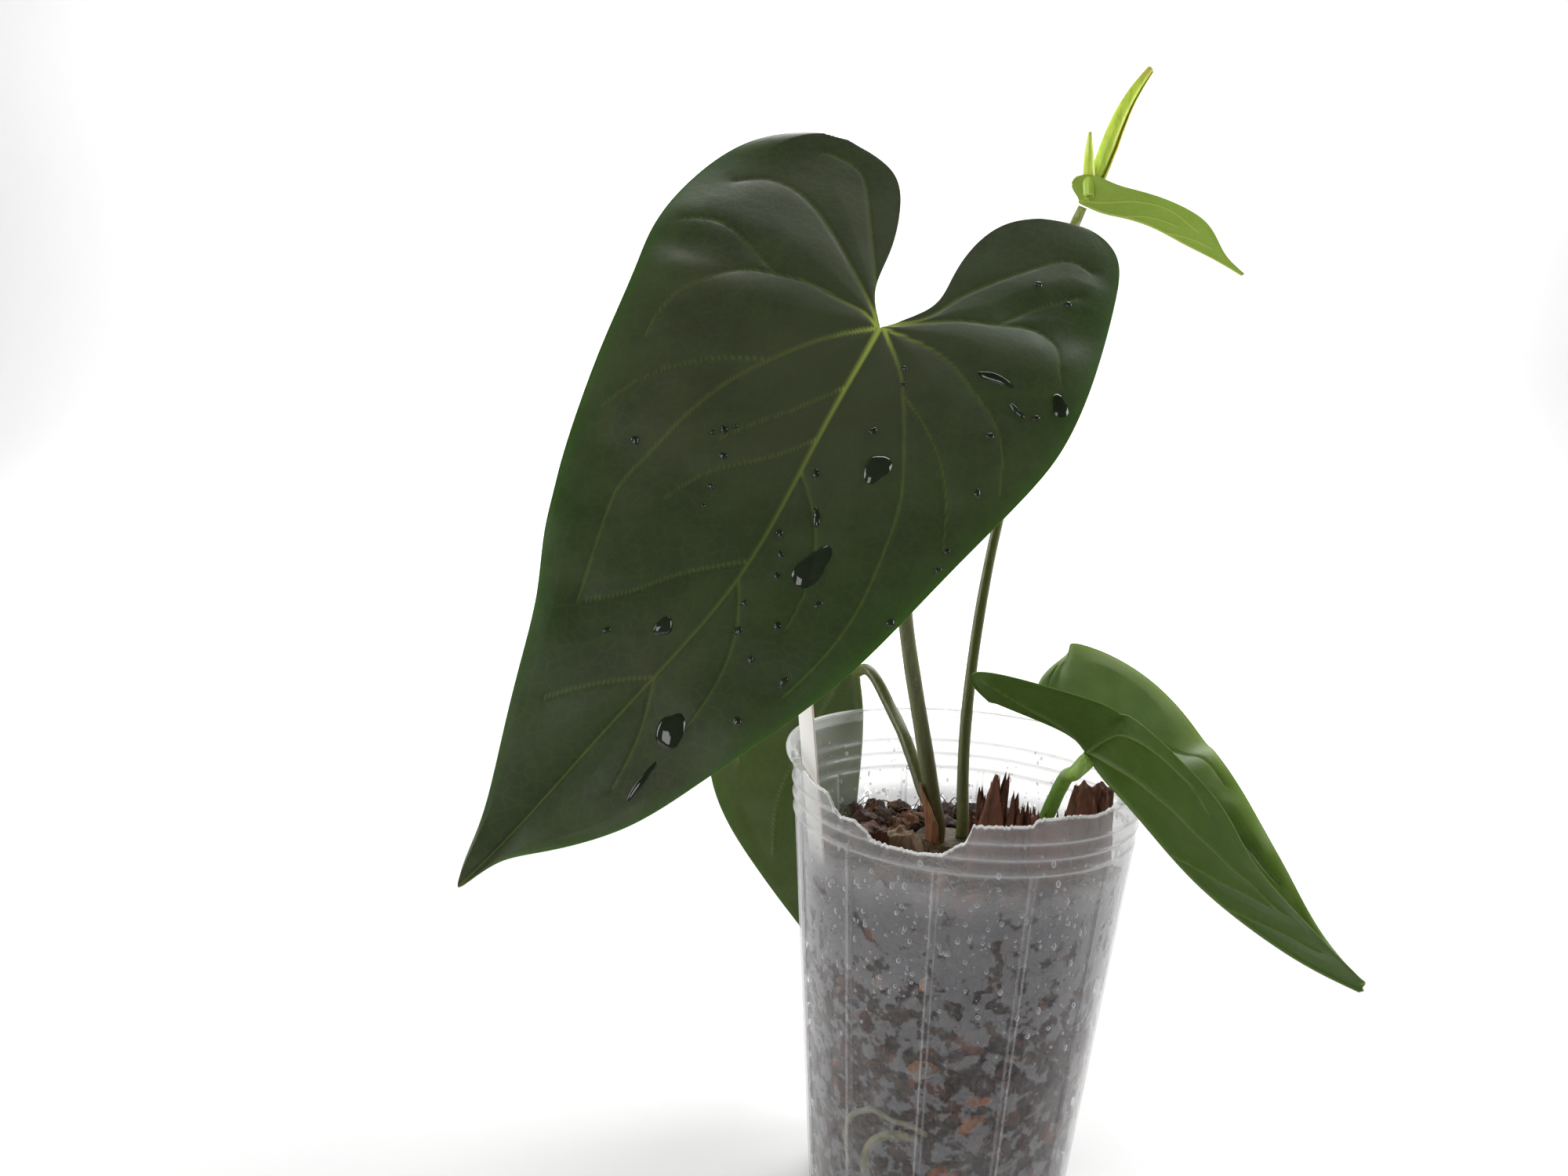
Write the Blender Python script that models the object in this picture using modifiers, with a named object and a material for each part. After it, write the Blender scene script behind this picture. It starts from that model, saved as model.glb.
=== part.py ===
"""Potted anthurium: one plant with four leaves in a clear plastic nursery pot.

Units are metres and +Z is up. The origin is the centre of the pot's underside, and the
pot's front, where the rim is torn, faces -Y. Leaves are given in millimetres from an
anchor, so that they follow the pot when its sizes change.
"""
import math
import random

import bmesh
import bpy
import numpy as np
from mathutils import Matrix, Vector

MM = 0.001
GAP = 0.3 * MM              # clearance between pieces that touch

# Pot
POT_HEIGHT = 138 * MM
RIM_RADIUS = 52.5 * MM      # outside of the rolled lip
BASE_RADIUS = 37.5 * MM
POT_WALL = 0.8 * MM
LIP_HEIGHT = 3.6 * MM
LIP_OVERHANG = 1.7 * MM     # how far the lip stands out from the wall
RING_DEPTHS = (10.5 * MM, 15.0 * MM, 19.4 * MM)   # below the rim
RING_HEIGHT = 1.6 * MM
RING_RELIEF = 0.5 * MM
RIB_COUNT = 12
RIB_WIDTH = 1.4 * MM
RIB_RELIEF = 0.5 * MM
RIB_FOOT = 6 * MM           # height where the ribs end above the base
DRAIN_COUNT = 6
DRAIN_RADIUS = 3.2 * MM
DRAIN_CIRCLE = 26 * MM
POT_SEGMENTS = 60
# Torn front rim: angle from the front in degrees, depth below the rim in mm
TEAR = ((-80, -1), (-72, 2.6), (-63, 5.2), (-55, 6.1), (-51, 10), (-49, 11.2), (-43, 10.8),
        (-39, 12.6), (-35, 15.0), (-21, 15.4), (-13, 14.6), (-10, 12.2), (-7, 10.8), (-5, 6.0),
        (12.6, 5.6), (13.6, 3.9), (25, 3.4), (35, 4.2), (41, 3.2), (49, -1))

# Growing mix and crown
MIX_DEPTH = 31 * MM         # from the rim down to the mix's surface
MIX_MOUND = 2.0 * MM        # rise from the wall to the middle
CROWN_AT = (-3.5 * MM, 3.0 * MM)
CROWN_RADIUS = 10 * MM
CROWN_DEPTH = 14 * MM
CROWN_PROUD = 1.5 * MM        # height of the crown above the mix beside it

# Plant
BLADE_THICKNESS = 0.8 * MM
PETIOLE_RADIUS = 2.1 * MM
YOUNG_PETIOLE_RADIUS = 1.5 * MM
TUBE_STEP = 7 * MM          # distance between a petiole's rings
PETIOLE_RISE = 4 * MM       # upright stretch at a petiole's foot
CATAPHYLL_HEIGHT = 17 * MM
CATAPHYLL_THICKNESS = 0.5 * MM
CATAPHYLL_ANGLE = 195       # degrees, the side of the petiole it stands on

# Plant label
LABEL_WIDTH = 13 * MM
LABEL_LENGTH = 78 * MM
LABEL_THICKNESS = 0.6 * MM
LABEL_ANGLE = 198           # degrees around the pot
LABEL_LEAN = 2.5            # degrees further out than the wall's slope
LABEL_DEPTH = 26 * MM       # length held in the mix

UPPER_ROOT_RADIUS = 0.9 * MM
LOWER_ROOT_RADIUS = 1.4 * MM

LIP_WALL_RADIUS = RIM_RADIUS - LIP_OVERHANG
MIX_LEVEL = POT_HEIGHT - MIX_DEPTH
CROWN_TOP = MIX_LEVEL + MIX_MOUND + CROWN_PROUD


# ---------------------------------------------------------------- scene helpers

def clear_scene():
    for item in list(bpy.data.objects):
        bpy.data.objects.remove(item, do_unlink=True)


def new_collection(name):
    collection = bpy.data.collections.new(name)
    bpy.context.scene.collection.children.link(collection)
    return collection


def new_material(name, colour, roughness=0.5, alpha=1.0):
    material = bpy.data.materials.new(name)
    material.use_nodes = True
    shader = material.node_tree.nodes["Principled BSDF"]
    shader.inputs["Base Color"].default_value = (*colour, 1.0)
    shader.inputs["Roughness"].default_value = roughness
    shader.inputs["Metallic"].default_value = 0.0
    shader.inputs["Alpha"].default_value = alpha
    return material


def add_object(name, mesh, collection, material=None):
    item = bpy.data.objects.new(name, mesh)
    collection.objects.link(item)
    if material is not None:
        mesh.materials.clear()
        mesh.materials.append(material)
        mesh.shade_smooth()
        mesh.set_sharp_from_angle(angle=math.radians(40))
    return item


def mesh_from_bmesh(name, shape):
    bmesh.ops.recalc_face_normals(shape, faces=shape.faces[:])
    mesh = bpy.data.meshes.new(name)
    shape.to_mesh(mesh)
    shape.free()
    return mesh


def make_cutter(item, collection):
    """Move an object among the cutters, where it is neither drawn nor built."""
    for owner in list(item.users_collection):
        owner.objects.unlink(item)
    collection.objects.link(item)
    item.hide_render = True
    item.display_type = "WIRE"
    return item


def boolean(item, other, operation):
    modifier = item.modifiers.new(f"{operation} {other.name}", "BOOLEAN")
    modifier.operation = operation
    modifier.solver = "EXACT"
    modifier.object = other


def turned(name, profile, collection, material, segments=POT_SEGMENTS):
    """Solid of revolution about Z from (radius, height) pairs, outer side top to bottom."""
    mesh = bpy.data.meshes.new(name)
    points = [(radius, 0.0, height) for radius, height in profile]
    edges = [(i, i + 1) for i in range(len(points) - 1)]
    mesh.from_pydata(points, edges, [])
    item = add_object(name, mesh, collection, material)
    screw = item.modifiers.new("Screw", "SCREW")
    screw.steps = segments
    screw.render_steps = segments
    screw.use_merge_vertices = True
    screw.merge_threshold = 0.00005
    return item


# ---------------------------------------------------------------- curves in space

def spline(knots, values):
    """Natural cubic spline through the values, as a function of the knots."""
    knots = np.asarray(knots, float)
    values = np.asarray(values, float).reshape(len(knots), -1)
    count = len(knots)
    step = np.diff(knots)
    slope = np.diff(values, axis=0) / step[:, None]
    matrix = np.eye(count)
    bend = np.zeros_like(values)
    for i in range(1, count - 1):
        matrix[i, i - 1:i + 2] = step[i - 1], 2 * (step[i - 1] + step[i]), step[i]
        bend[i] = 6 * (slope[i] - slope[i - 1])
    bend = np.linalg.solve(matrix, bend)

    def evaluate(at):
        at = np.atleast_1d(np.asarray(at, float))
        i = np.clip(np.searchsorted(knots, at, side="right") - 1, 0, count - 2)
        h = step[i][:, None]
        t = (at - knots[i])[:, None]
        linear = slope[i] - h * (2 * bend[i] + bend[i + 1]) / 6
        return values[i] + t * linear + t ** 2 * bend[i] / 2 + t ** 3 * (bend[i + 1] - bend[i]) / (6 * h)

    return evaluate


def chord_length(points):
    return np.concatenate([[0.0], np.cumsum(np.linalg.norm(np.diff(points, axis=0), axis=1))])


def smooth_path(points, step):
    """Points about a step apart along a smooth curve through the given ones."""
    points = np.asarray(points, float)
    knots = chord_length(points)
    curve = spline(knots, points)
    fine = curve(np.linspace(0, knots[-1], 600))
    length = chord_length(fine)
    count = max(4, int(round(length[-1] / step)) + 1)
    even = np.linspace(0, length[-1], count)
    return np.stack([np.interp(even, length, fine[:, axis]) for axis in range(3)], axis=1)


def tube(name, path, radii, collection, material, resolution=2):
    """Round stem along a path; radii are spread evenly from its start to its end."""
    curve = bpy.data.curves.new(name, "CURVE")
    curve.dimensions = "3D"
    curve.bevel_depth = 1.0
    curve.bevel_resolution = resolution
    curve.use_fill_caps = True
    line = curve.splines.new("POLY")
    line.points.add(len(path) - 1)
    along = np.linspace(0, 1, len(path))
    widths = np.interp(along, np.linspace(0, 1, len(radii)), radii)
    for point, place, width in zip(line.points, path, widths):
        point.co = (*place, 1.0)
        point.radius = width
    guide = bpy.data.objects.new(name + "_curve", curve)
    collection.objects.link(guide)
    bpy.context.view_layer.update()
    evaluated = guide.evaluated_get(bpy.context.evaluated_depsgraph_get())
    mesh = bpy.data.meshes.new_from_object(evaluated)
    shape = bmesh.new()
    shape.from_mesh(mesh)
    bmesh.ops.remove_doubles(shape, verts=shape.verts[:], dist=0.00001)
    shape.to_mesh(mesh)
    shape.free()
    matrix = guide.matrix_world.copy()
    bpy.data.objects.remove(guide, do_unlink=True)
    item = add_object(name, mesh, collection, material)
    item.matrix_world = matrix
    return item


# ---------------------------------------------------------------- leaves

class Leaf:
    """A blade laid along a spine.

    Places on the blade are (s, w) in mm: s runs from the petiole's junction towards the
    tip, w across, positive on the right of someone who looks at the upper face tip down.
    Each half is folded up from the midrib by an angle and curled on a radius.
    """

    def __init__(self, anchor, spine, junction, across, fold):
        points = np.asarray(spine, float)
        knots = chord_length(points)
        curve = spline(knots, points)
        at = np.linspace(0, knots[-1], 1200)
        self.line = curve(at) * MM + np.asarray(anchor)
        arc = chord_length(self.line) / MM
        start = np.argmin(np.linalg.norm(curve(at) - points[junction], axis=1))
        self.arc = arc - arc[start]
        along = np.gradient(self.line, axis=0)
        self.along = along / np.linalg.norm(along, axis=1)[:, None]
        side = spline(knots, across)(at)
        side -= (side * self.along).sum(1)[:, None] * self.along
        self.side = side / np.linalg.norm(side, axis=1)[:, None]
        self.up = np.cross(self.along, self.side)
        self.fold = np.asarray(fold, float)

    def frame(self, s):
        """Point on the spine with the directions along, across and up there."""
        rows = (self.line, self.along, self.side, self.up)
        return [np.stack([np.interp(s, self.arc, row[:, k]) for k in range(3)], axis=-1) for row in rows]

    def place(self, s, w):
        s = np.asarray(s, float)
        w = np.asarray(w, float)
        line, along, side, up = self.frame(s)
        stations = self.fold[:, 0]
        shape = spline(stations, self.fold[:, 1:])(np.clip(s, stations[0], stations[-1]).ravel())
        shape = shape.reshape(*s.shape, 4)
        angle = np.radians(np.where(w < 0, shape[..., 0], shape[..., 1]))
        curl = np.where(w < 0, shape[..., 2], shape[..., 3]) / 1000
        curl = np.where(np.abs(curl) < 1e-6, 1e-6, curl)
        reach = np.abs(w)
        out = (np.sin(angle + curl * reach) - np.sin(angle)) / curl
        rise = -(np.cos(angle + curl * reach) - np.cos(angle)) / curl
        return line + (side * (np.sign(w) * out)[..., None] + up * rise[..., None]) * MM


def outline_curve(points, count):
    """Evenly spread points on a smooth outline through the given (s, w) pairs."""
    points = np.asarray(points, float)
    knots = np.sqrt(np.linalg.norm(np.diff(points, axis=0), axis=1))
    knots = np.concatenate([[0.0], np.cumsum(knots)])
    fine = spline(knots, points)(np.linspace(0, knots[-1], 400))
    length = chord_length(fine)
    even = np.linspace(0, length[-1], count)
    return np.stack([np.interp(even, length, fine[:, axis]) for axis in range(2)], axis=1)


def half_grid(sinus, margin, rows, columns):
    """Grid of (s, w) over half a blade, between the sinus and midrib and the outer margin.

    Both outlines start at the end of the lobe; the sinus ends at the junction (0, 0), from
    where the midrib carries on to the tip.
    """
    outer = outline_curve(margin, rows)
    tip = margin[-1][0]
    back = max(2, int(round(0.3 * rows)))
    inner = outline_curve(sinus, back + 1)
    midrib = np.stack([np.linspace(0, tip, rows - back), np.zeros(rows - back)], axis=1)
    inner = np.concatenate([inner, midrib[1:]])
    share = np.linspace(0, 1, columns)[None, :, None]
    return inner[:, None] * (1 - share) + outer[:, None] * share


def blade_mesh(name, leaf, halves, rows, columns):
    """Open blade surface of two halves, welded along the midrib."""
    shape = bmesh.new()
    for sinus, margin in halves:
        grid = half_grid(sinus, margin, rows, columns)
        places = leaf.place(grid[..., 0], grid[..., 1])
        verts = [[shape.verts.new(place) for place in row] for row in places]
        for i in range(rows - 1):
            for j in range(columns - 1):
                shape.faces.new((verts[i][j], verts[i + 1][j], verts[i + 1][j + 1], verts[i][j + 1]))
    bmesh.ops.remove_doubles(shape, verts=shape.verts[:], dist=0.00002)
    bmesh.ops.dissolve_degenerate(shape, edges=shape.edges[:], dist=0.00002)
    return mesh_from_bmesh(name, shape)


def thicken(item, thickness):
    solid = item.modifiers.new("Solidify", "SOLIDIFY")
    solid.thickness = thickness
    solid.offset = 0.0


def add_blade(name, leaf, halves, collection, material, rows=26, columns=6):
    item = add_object(name, blade_mesh(name, leaf, halves, rows, columns), collection, material)
    thicken(item, BLADE_THICKNESS)
    return item


def petiole_path(base, points, leaf, seat=2.5, approach=6.0):
    """Route that leaves the crown upright and meets the underside of the blade square on."""
    line, along, side, up = leaf.frame(seat)
    keel = math.radians(np.interp(seat, leaf.fold[:, 0], leaf.fold[:, 1:3].mean(axis=1)))
    end = line - up * (BLADE_THICKNESS / 2 / math.cos(keel) + GAP)
    upright = np.asarray(base) + (0.0, 0.0, PETIOLE_RISE)
    route = smooth_path([upright, *points, end - up * approach * MM], TUBE_STEP)
    return np.concatenate([[base], route, [end]])


def lengthened(path, extra):
    """The path with each end moved outward."""
    path = np.array(path, float)
    first = path[0] - path[1]
    last = path[-1] - path[-2]
    path[0] += first / np.linalg.norm(first) * extra
    path[-1] += last / np.linalg.norm(last) * extra
    return path


def well_along(name, path, radii, cutters):
    """Cutter that leaves a tube its clearance all round and past its ends."""
    grown = [radius + GAP for radius in radii]
    return make_cutter(tube(name, lengthened(path, GAP), grown, cutters, None), cutters)


def from_anchor(anchor, points):
    return [tuple(np.asarray(anchor) + np.asarray(point) * MM) for point in points]


# ---------------------------------------------------------------- pot

def wall_radius(height):
    """Outer radius of the pot's wall, without lip, rings and ribs."""
    return BASE_RADIUS + (LIP_WALL_RADIUS - BASE_RADIUS) * height / POT_HEIGHT


def pot_profile():
    inner = [(0.0, POT_WALL), (wall_radius(0) - 2 * POT_WALL, POT_WALL)]
    inner.append((wall_radius(POT_WALL) - POT_WALL, 2 * POT_WALL))
    rim = [(LIP_WALL_RADIUS - POT_WALL, POT_HEIGHT - 0.5 * POT_WALL)]
    for angle in (120, 75, 30, 0, -30, -60):
        lip = LIP_HEIGHT / 2
        turn = math.radians(angle)
        centre = RIM_RADIUS - lip * 0.6
        rim.append((centre + lip * 0.6 * math.cos(turn), POT_HEIGHT - lip + lip * math.sin(turn)))
    under = POT_HEIGHT - LIP_HEIGHT
    rim.append((wall_radius(under), under - 0.3 * MM))
    outer = []
    for depth in RING_DEPTHS:
        for offset, relief in ((0.5, 0.0), (0.2, 1.0), (-0.2, 1.0), (-0.5, 0.0)):
            height = POT_HEIGHT - depth + offset * RING_HEIGHT
            outer.append((wall_radius(height) + relief * RING_RELIEF, height))
    foot = [(wall_radius(1.2 * MM), 1.2 * MM), (wall_radius(0) - 0.8 * MM, 0.0), (0.0, 0.0)]
    return inner + rim + outer + foot


def rib_union(collection):
    """All the wall's upright ribs as one object of separate strips."""
    top = POT_HEIGHT - RING_DEPTHS[-1]
    shape = bmesh.new()
    for index in range(RIB_COUNT):
        turn = math.radians((index + 0.5) * 360 / RIB_COUNT)
        rows = []
        for height in (RIB_FOOT, top):
            row = []
            for width, reach in ((-1.0, -0.3), (-0.5, 1.0), (0.5, 1.0), (1.0, -0.3)):
                radius = wall_radius(height) + reach * RIB_RELIEF
                spread = width * RIB_WIDTH / 2
                place = Vector((radius, spread, height))
                row.append(shape.verts.new(Matrix.Rotation(turn, 3, "Z") @ place))
            rows.append(row)
        for i in range(4):
            j = (i + 1) % 4
            shape.faces.new((rows[0][i], rows[0][j], rows[1][j], rows[1][i]))
        shape.faces.new(rows[0])
        shape.faces.new(rows[1])
    item = add_object("pot_ribs", mesh_from_bmesh("pot_ribs", shape), collection)
    return item


def tear_cutter(collection):
    """Band across the front of the rim whose lower edge is the torn outline."""
    inside = LIP_WALL_RADIUS - 8 * MM
    outside = RIM_RADIUS + 4 * MM
    shape = bmesh.new()
    rows = []
    for angle, depth in TEAR:
        turn = math.radians(angle - 90)
        row = []
        for radius, height in ((inside, POT_HEIGHT + 5 * MM), (outside, POT_HEIGHT + 5 * MM),
                               (outside, POT_HEIGHT - depth * MM), (inside, POT_HEIGHT - depth * MM)):
            row.append(shape.verts.new((radius * math.cos(turn), radius * math.sin(turn), height)))
        rows.append(row)
    for first, second in zip(rows, rows[1:]):
        for i in range(4):
            j = (i + 1) % 4
            shape.faces.new((first[i], first[j], second[j], second[i]))
    shape.faces.new(rows[0])
    shape.faces.new(rows[-1])
    return make_cutter(add_object("torn_rim", mesh_from_bmesh("torn_rim", shape), collection), collection)


def drain_cutters(collection):
    shape = bmesh.new()
    for index in range(DRAIN_COUNT):
        turn = math.radians(index * 360 / DRAIN_COUNT)
        place = Matrix.Translation((DRAIN_CIRCLE * math.cos(turn), DRAIN_CIRCLE * math.sin(turn), 0.0))
        bmesh.ops.create_cone(shape, cap_ends=True, segments=12, radius1=DRAIN_RADIUS,
                              radius2=DRAIN_RADIUS, depth=6 * POT_WALL, matrix=place)
    return make_cutter(add_object("drain_holes", mesh_from_bmesh("drain_holes", shape), collection), collection)


def build_pot(parts, cutters):
    material = new_material("clear_plastic", (0.72, 0.72, 0.70), 0.25, 0.35)
    pot = turned("pot", pot_profile(), parts, material)
    boolean(pot, make_cutter(rib_union(cutters), cutters), "UNION")
    boolean(pot, tear_cutter(cutters), "DIFFERENCE")
    boolean(pot, drain_cutters(cutters), "DIFFERENCE")
    return pot


# ---------------------------------------------------------------- growing mix and what stands in it

def mix_height(x, y):
    """Height of the mix's uneven surface."""
    share = min(1.0, math.hypot(x, y) / (LIP_WALL_RADIUS - 6 * MM))
    swell = math.sin(x / (9 * MM) + 0.6) * math.cos(y / (8 * MM) - 0.4)
    return MIX_LEVEL + MIX_MOUND * (1 - share ** 2) + 0.7 * MM * swell


def mix_surface(parts, material):
    """Lump that fills the pot up to the mix level, with an uneven top."""
    shape = bmesh.new()
    around = 40
    floor = POT_WALL + GAP
    rings = []
    levels = [(floor, wall_radius(0) - 2 * POT_WALL - GAP)]
    levels.append((floor + POT_WALL, wall_radius(POT_WALL) - POT_WALL - GAP))
    wall_clear = (POT_WALL + GAP) * 1.1
    for share in (0.25, 0.5, 0.75):
        height = floor + share * (MIX_LEVEL - floor)
        levels.append((height, wall_radius(height) - wall_clear))
    for height, radius in levels:
        rings.append([(radius, height)] * around)
    edge = wall_radius(MIX_LEVEL - 2 * MM) - wall_clear
    for share in (1.0, 0.8, 0.6, 0.4, 0.2):
        rings.append([(edge * share, None)] * around)
    verts = []
    for ring in rings:
        row = []
        for index, (radius, height) in enumerate(ring):
            turn = 2 * math.pi * index / around
            x = radius * math.cos(turn)
            y = radius * math.sin(turn)
            row.append(shape.verts.new((x, y, mix_height(x, y) if height is None else height)))
        verts.append(row)
    for lower, upper in zip(verts, verts[1:]):
        for i in range(around):
            j = (i + 1) % around
            shape.faces.new((lower[i], lower[j], upper[j], upper[i]))
    shape.faces.new(verts[0])
    middle = shape.verts.new((0.0, 0.0, mix_height(0.0, 0.0)))
    for i in range(around):
        shape.faces.new((verts[-1][i], verts[-1][(i + 1) % around], middle))
    bmesh.ops.triangulate(shape, faces=shape.faces[:])
    return add_object("growing_mix", mesh_from_bmesh("growing_mix", shape), parts, material)


def chip_mesh(name, size, seed, taper=0.85, grow=0.0):
    """Irregular block of husk about its centre; grow adds a clearance all round."""
    rng = random.Random(seed)
    shape = bmesh.new()
    bmesh.ops.create_cube(shape, size=1.0)
    bmesh.ops.subdivide_edges(shape, edges=shape.edges[:], cuts=1, use_grid_fill=True)
    half = Vector(size) / 2
    for vert in shape.verts:
        pinch = 1 - (1 - taper) * (vert.co.z + 0.5)
        spread = [rng.uniform(0.84, 1.0) for _ in range(3)]
        round_off = 1.0 if vert.co.length > 0.8 else 1.12
        x = vert.co.x * 2 * half.x * pinch * spread[0] * round_off
        y = vert.co.y * 2 * half.y * pinch * spread[1] * round_off
        z = vert.co.z * 2 * half.z * spread[2]
        vert.co = (x, y, z)
    shape.normal_update()
    for vert in shape.verts:
        vert.co += vert.normal * vert.calc_shell_factor() * grow
    bmesh.ops.triangulate(shape, faces=shape.faces[:])
    return mesh_from_bmesh(name, shape)


def on_rim(x, y):
    """Anchor that stays at the rim's edge in the direction of (x, y) mm."""
    length = math.hypot(x, y)
    return (RIM_RADIUS * x / length, RIM_RADIUS * y / length, POT_HEIGHT)


RIGHT_LEAF_AT = on_rim(35.1, -39)
BESIDE_RIGHT_LEAF = (RIGHT_LEAF_AT[0] / MM - 0.6, RIGHT_LEAF_AT[1] / MM + 31.0)

# name: size (mm), place x y (mm), sink below the mix's surface (mm), turn about X Y Z (degrees), top taper
CHIPS = {
    "husk_spike_shard": ((16, 6, 40), (4, -27), 9, (6, -3, 10), 0.15),
    "husk_brown_block": ((9, 7, 14), (-28, -14), 3, (12, 8, 20), 0.8),
    "husk_pale_chip": ((11, 6, 12), (-17.5, -12), 3, (20, -10, -25), 0.7),
    "husk_right_shard": ((15, 7, 34), BESIDE_RIGHT_LEAF, 9, (-8, 10, 15), 0.75),
    "husk_low_chip": ((12, 7, 28), (20.5, -28), 7, (6, -4, -8), 0.8),
    "husk_rear_chip": ((12, 9, 10), (12, 26), 4, (10, -12, 40), 0.7),
    "husk_left_chip": ((10, 8, 9), (-27, 14), 4, (-14, 6, -30), 0.7),
}
CHIP_COLOURS = {
    "husk_spike_shard": (0.035, 0.015, 0.008),
    "husk_brown_block": (0.10, 0.035, 0.015),
    "husk_pale_chip": (0.28, 0.13, 0.055),
    "husk_right_shard": (0.07, 0.026, 0.012),
}
STICKS = {
    "dark_stick": (((-36, -14), 9), ((-33, -23), 14), 1.1),
    "husk_twig": (((10, -17), 8), ((19, -14), 16), 0.9),
}


def place_chip(item, size, spot, sink, turn):
    x = spot[0] * MM
    y = spot[1] * MM
    item.location = (x, y, mix_height(x, y) + (size[2] / 2 - sink) * MM)
    item.rotation_euler = [math.radians(angle) for angle in turn]


def build_chips(parts, cutters):
    """Husk pieces that stand in the mix, each with the well that holds it."""
    wells = []
    for seed, (name, (size, spot, sink, turn, taper)) in enumerate(CHIPS.items()):
        colour = CHIP_COLOURS.get(name, (0.05, 0.02, 0.01))
        full = [value * MM for value in size]
        material = new_material(name, colour, 0.85)
        chip = add_object(name, chip_mesh(name, full, seed, taper), parts, material)
        place_chip(chip, size, spot, sink, turn)
        well = add_object(name + "_well", chip_mesh(name + "_well", full, seed, taper, GAP), cutters)
        place_chip(well, size, spot, sink, turn)
        wells.append(make_cutter(well, cutters))
    return wells


def build_sticks(parts, cutters):
    wells = []
    for name, ((start, low), (end, high), radius) in STICKS.items():
        material = new_material(name, (0.03, 0.018, 0.012), 0.9)
        ends = []
        for (x, y), rise in ((start, low), (end, high)):
            ends.append((x * MM, y * MM, mix_height(x * MM, y * MM) + (rise - 11) * MM))
        path = smooth_path([ends[0], np.mean(ends, axis=0) + (0, 0, 0.6 * MM), ends[1]], 4 * MM)
        radii = (radius * MM, 0.7 * radius * MM)
        tube(name, path, radii, parts, material)
        wells.append(well_along(name + "_well", path, radii, cutters))
    return wells


def build_crown(parts, cutters):
    """Short stem that carries the petioles, in its well in the mix."""
    material = new_material("crown", (0.05, 0.03, 0.015), 0.8)
    radius = CROWN_RADIUS
    depth = CROWN_DEPTH
    profile = [(0, 0), (0.9 * radius, 0), (radius, -0.15 * depth), (0.8 * radius, -0.7 * depth),
               (0.45 * radius, -depth), (0, -depth)]
    crown = turned("crown", profile, parts, material, 20)
    crown.location = (*CROWN_AT, CROWN_TOP)
    grown = [(0, 2 * depth), (radius + GAP, 2 * depth), (radius + GAP, -0.15 * depth),
             (0.8 * radius + GAP, -0.7 * depth), (0.45 * radius + GAP, -depth - GAP), (0, -depth - GAP)]
    well = turned("crown_well", grown, cutters, new_material("cutter", (1, 0, 0)), 20)
    well.location = (*CROWN_AT, CROWN_TOP)
    return [make_cutter(well, cutters)]


def wall_path(points, clearance):
    """Points inside the pot's wall from (angle from the front in degrees, height in mm)."""
    path = []
    for angle, height in points:
        turn = math.radians(angle - 90)
        radius = wall_radius(height * MM) - clearance
        path.append((radius * math.cos(turn), radius * math.sin(turn), height * MM))
    return path


UPPER_ROOT = ((-47, 22), (-49, 30), (-47, 37), (-41, 41), (-34, 43), (-27, 42), (-20, 42), (-12, 40))
LOWER_ROOT = ((-38, 19), (-39, 27), (-35, 33), (-29, 36.5), (-22, 38), (-15, 37.5))


def build_roots(parts, cutters):
    """Two green roots pressed against the inside of the wall, in grooves of the mix."""
    wells = []
    material = new_material("root", (0.16, 0.17, 0.09), 0.5)
    roots = (("upper_root", UPPER_ROOT, UPPER_ROOT_RADIUS), ("lower_root", LOWER_ROOT, LOWER_ROOT_RADIUS))
    for name, points, radius in roots:
        path = smooth_path(wall_path(points, POT_WALL + GAP * 1.3 + radius), 3 * MM)
        radii = (radius, radius, 0.8 * radius)
        tube(name, path, radii, parts, material)
        wells.append(well_along(name + "_groove", path, radii, cutters))
    return wells


def label_box(name, grow, collection, material=None):
    """Plastic tag, standing in the mix beside the wall."""
    shape = bmesh.new()
    bmesh.ops.create_cube(shape, size=1.0)
    size = Vector((LABEL_THICKNESS + 2 * grow, LABEL_WIDTH + 2 * grow, LABEL_LENGTH + 2 * grow))
    bmesh.ops.scale(shape, vec=size, verts=shape.verts[:])
    item = add_object(name, mesh_from_bmesh(name, shape), collection, material)
    turn = math.radians(LABEL_ANGLE)
    lean = math.atan((LIP_WALL_RADIUS - BASE_RADIUS) / POT_HEIGHT) + math.radians(LABEL_LEAN)
    chord = math.sqrt((RIM_RADIUS - LIP_OVERHANG - POT_WALL) ** 2 - (LABEL_WIDTH / 2) ** 2)
    at_rim = chord - LABEL_THICKNESS - 2 * GAP
    from_rim = LABEL_LENGTH / 2 - LABEL_DEPTH - MIX_DEPTH
    reach = at_rim + from_rim * math.sin(lean)
    height = POT_HEIGHT + from_rim * math.cos(lean)
    item.location = (reach * math.cos(turn), reach * math.sin(turn), height)
    item.rotation_euler = (0.0, lean, turn)
    return item


def build_label(parts, cutters):
    label_box("plant_label", 0.0, parts, new_material("label", (0.8, 0.8, 0.78), 0.4))
    return [make_cutter(label_box("label_slot", GAP, cutters), cutters)]


# ---------------------------------------------------------------- the four leaves

def on_crown(x, y):
    """Foot of a petiole on the crown's flat top, from the crown's middle in mm."""
    return (CROWN_AT[0] + x * MM, CROWN_AT[1] + y * MM, CROWN_TOP + GAP)


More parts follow.
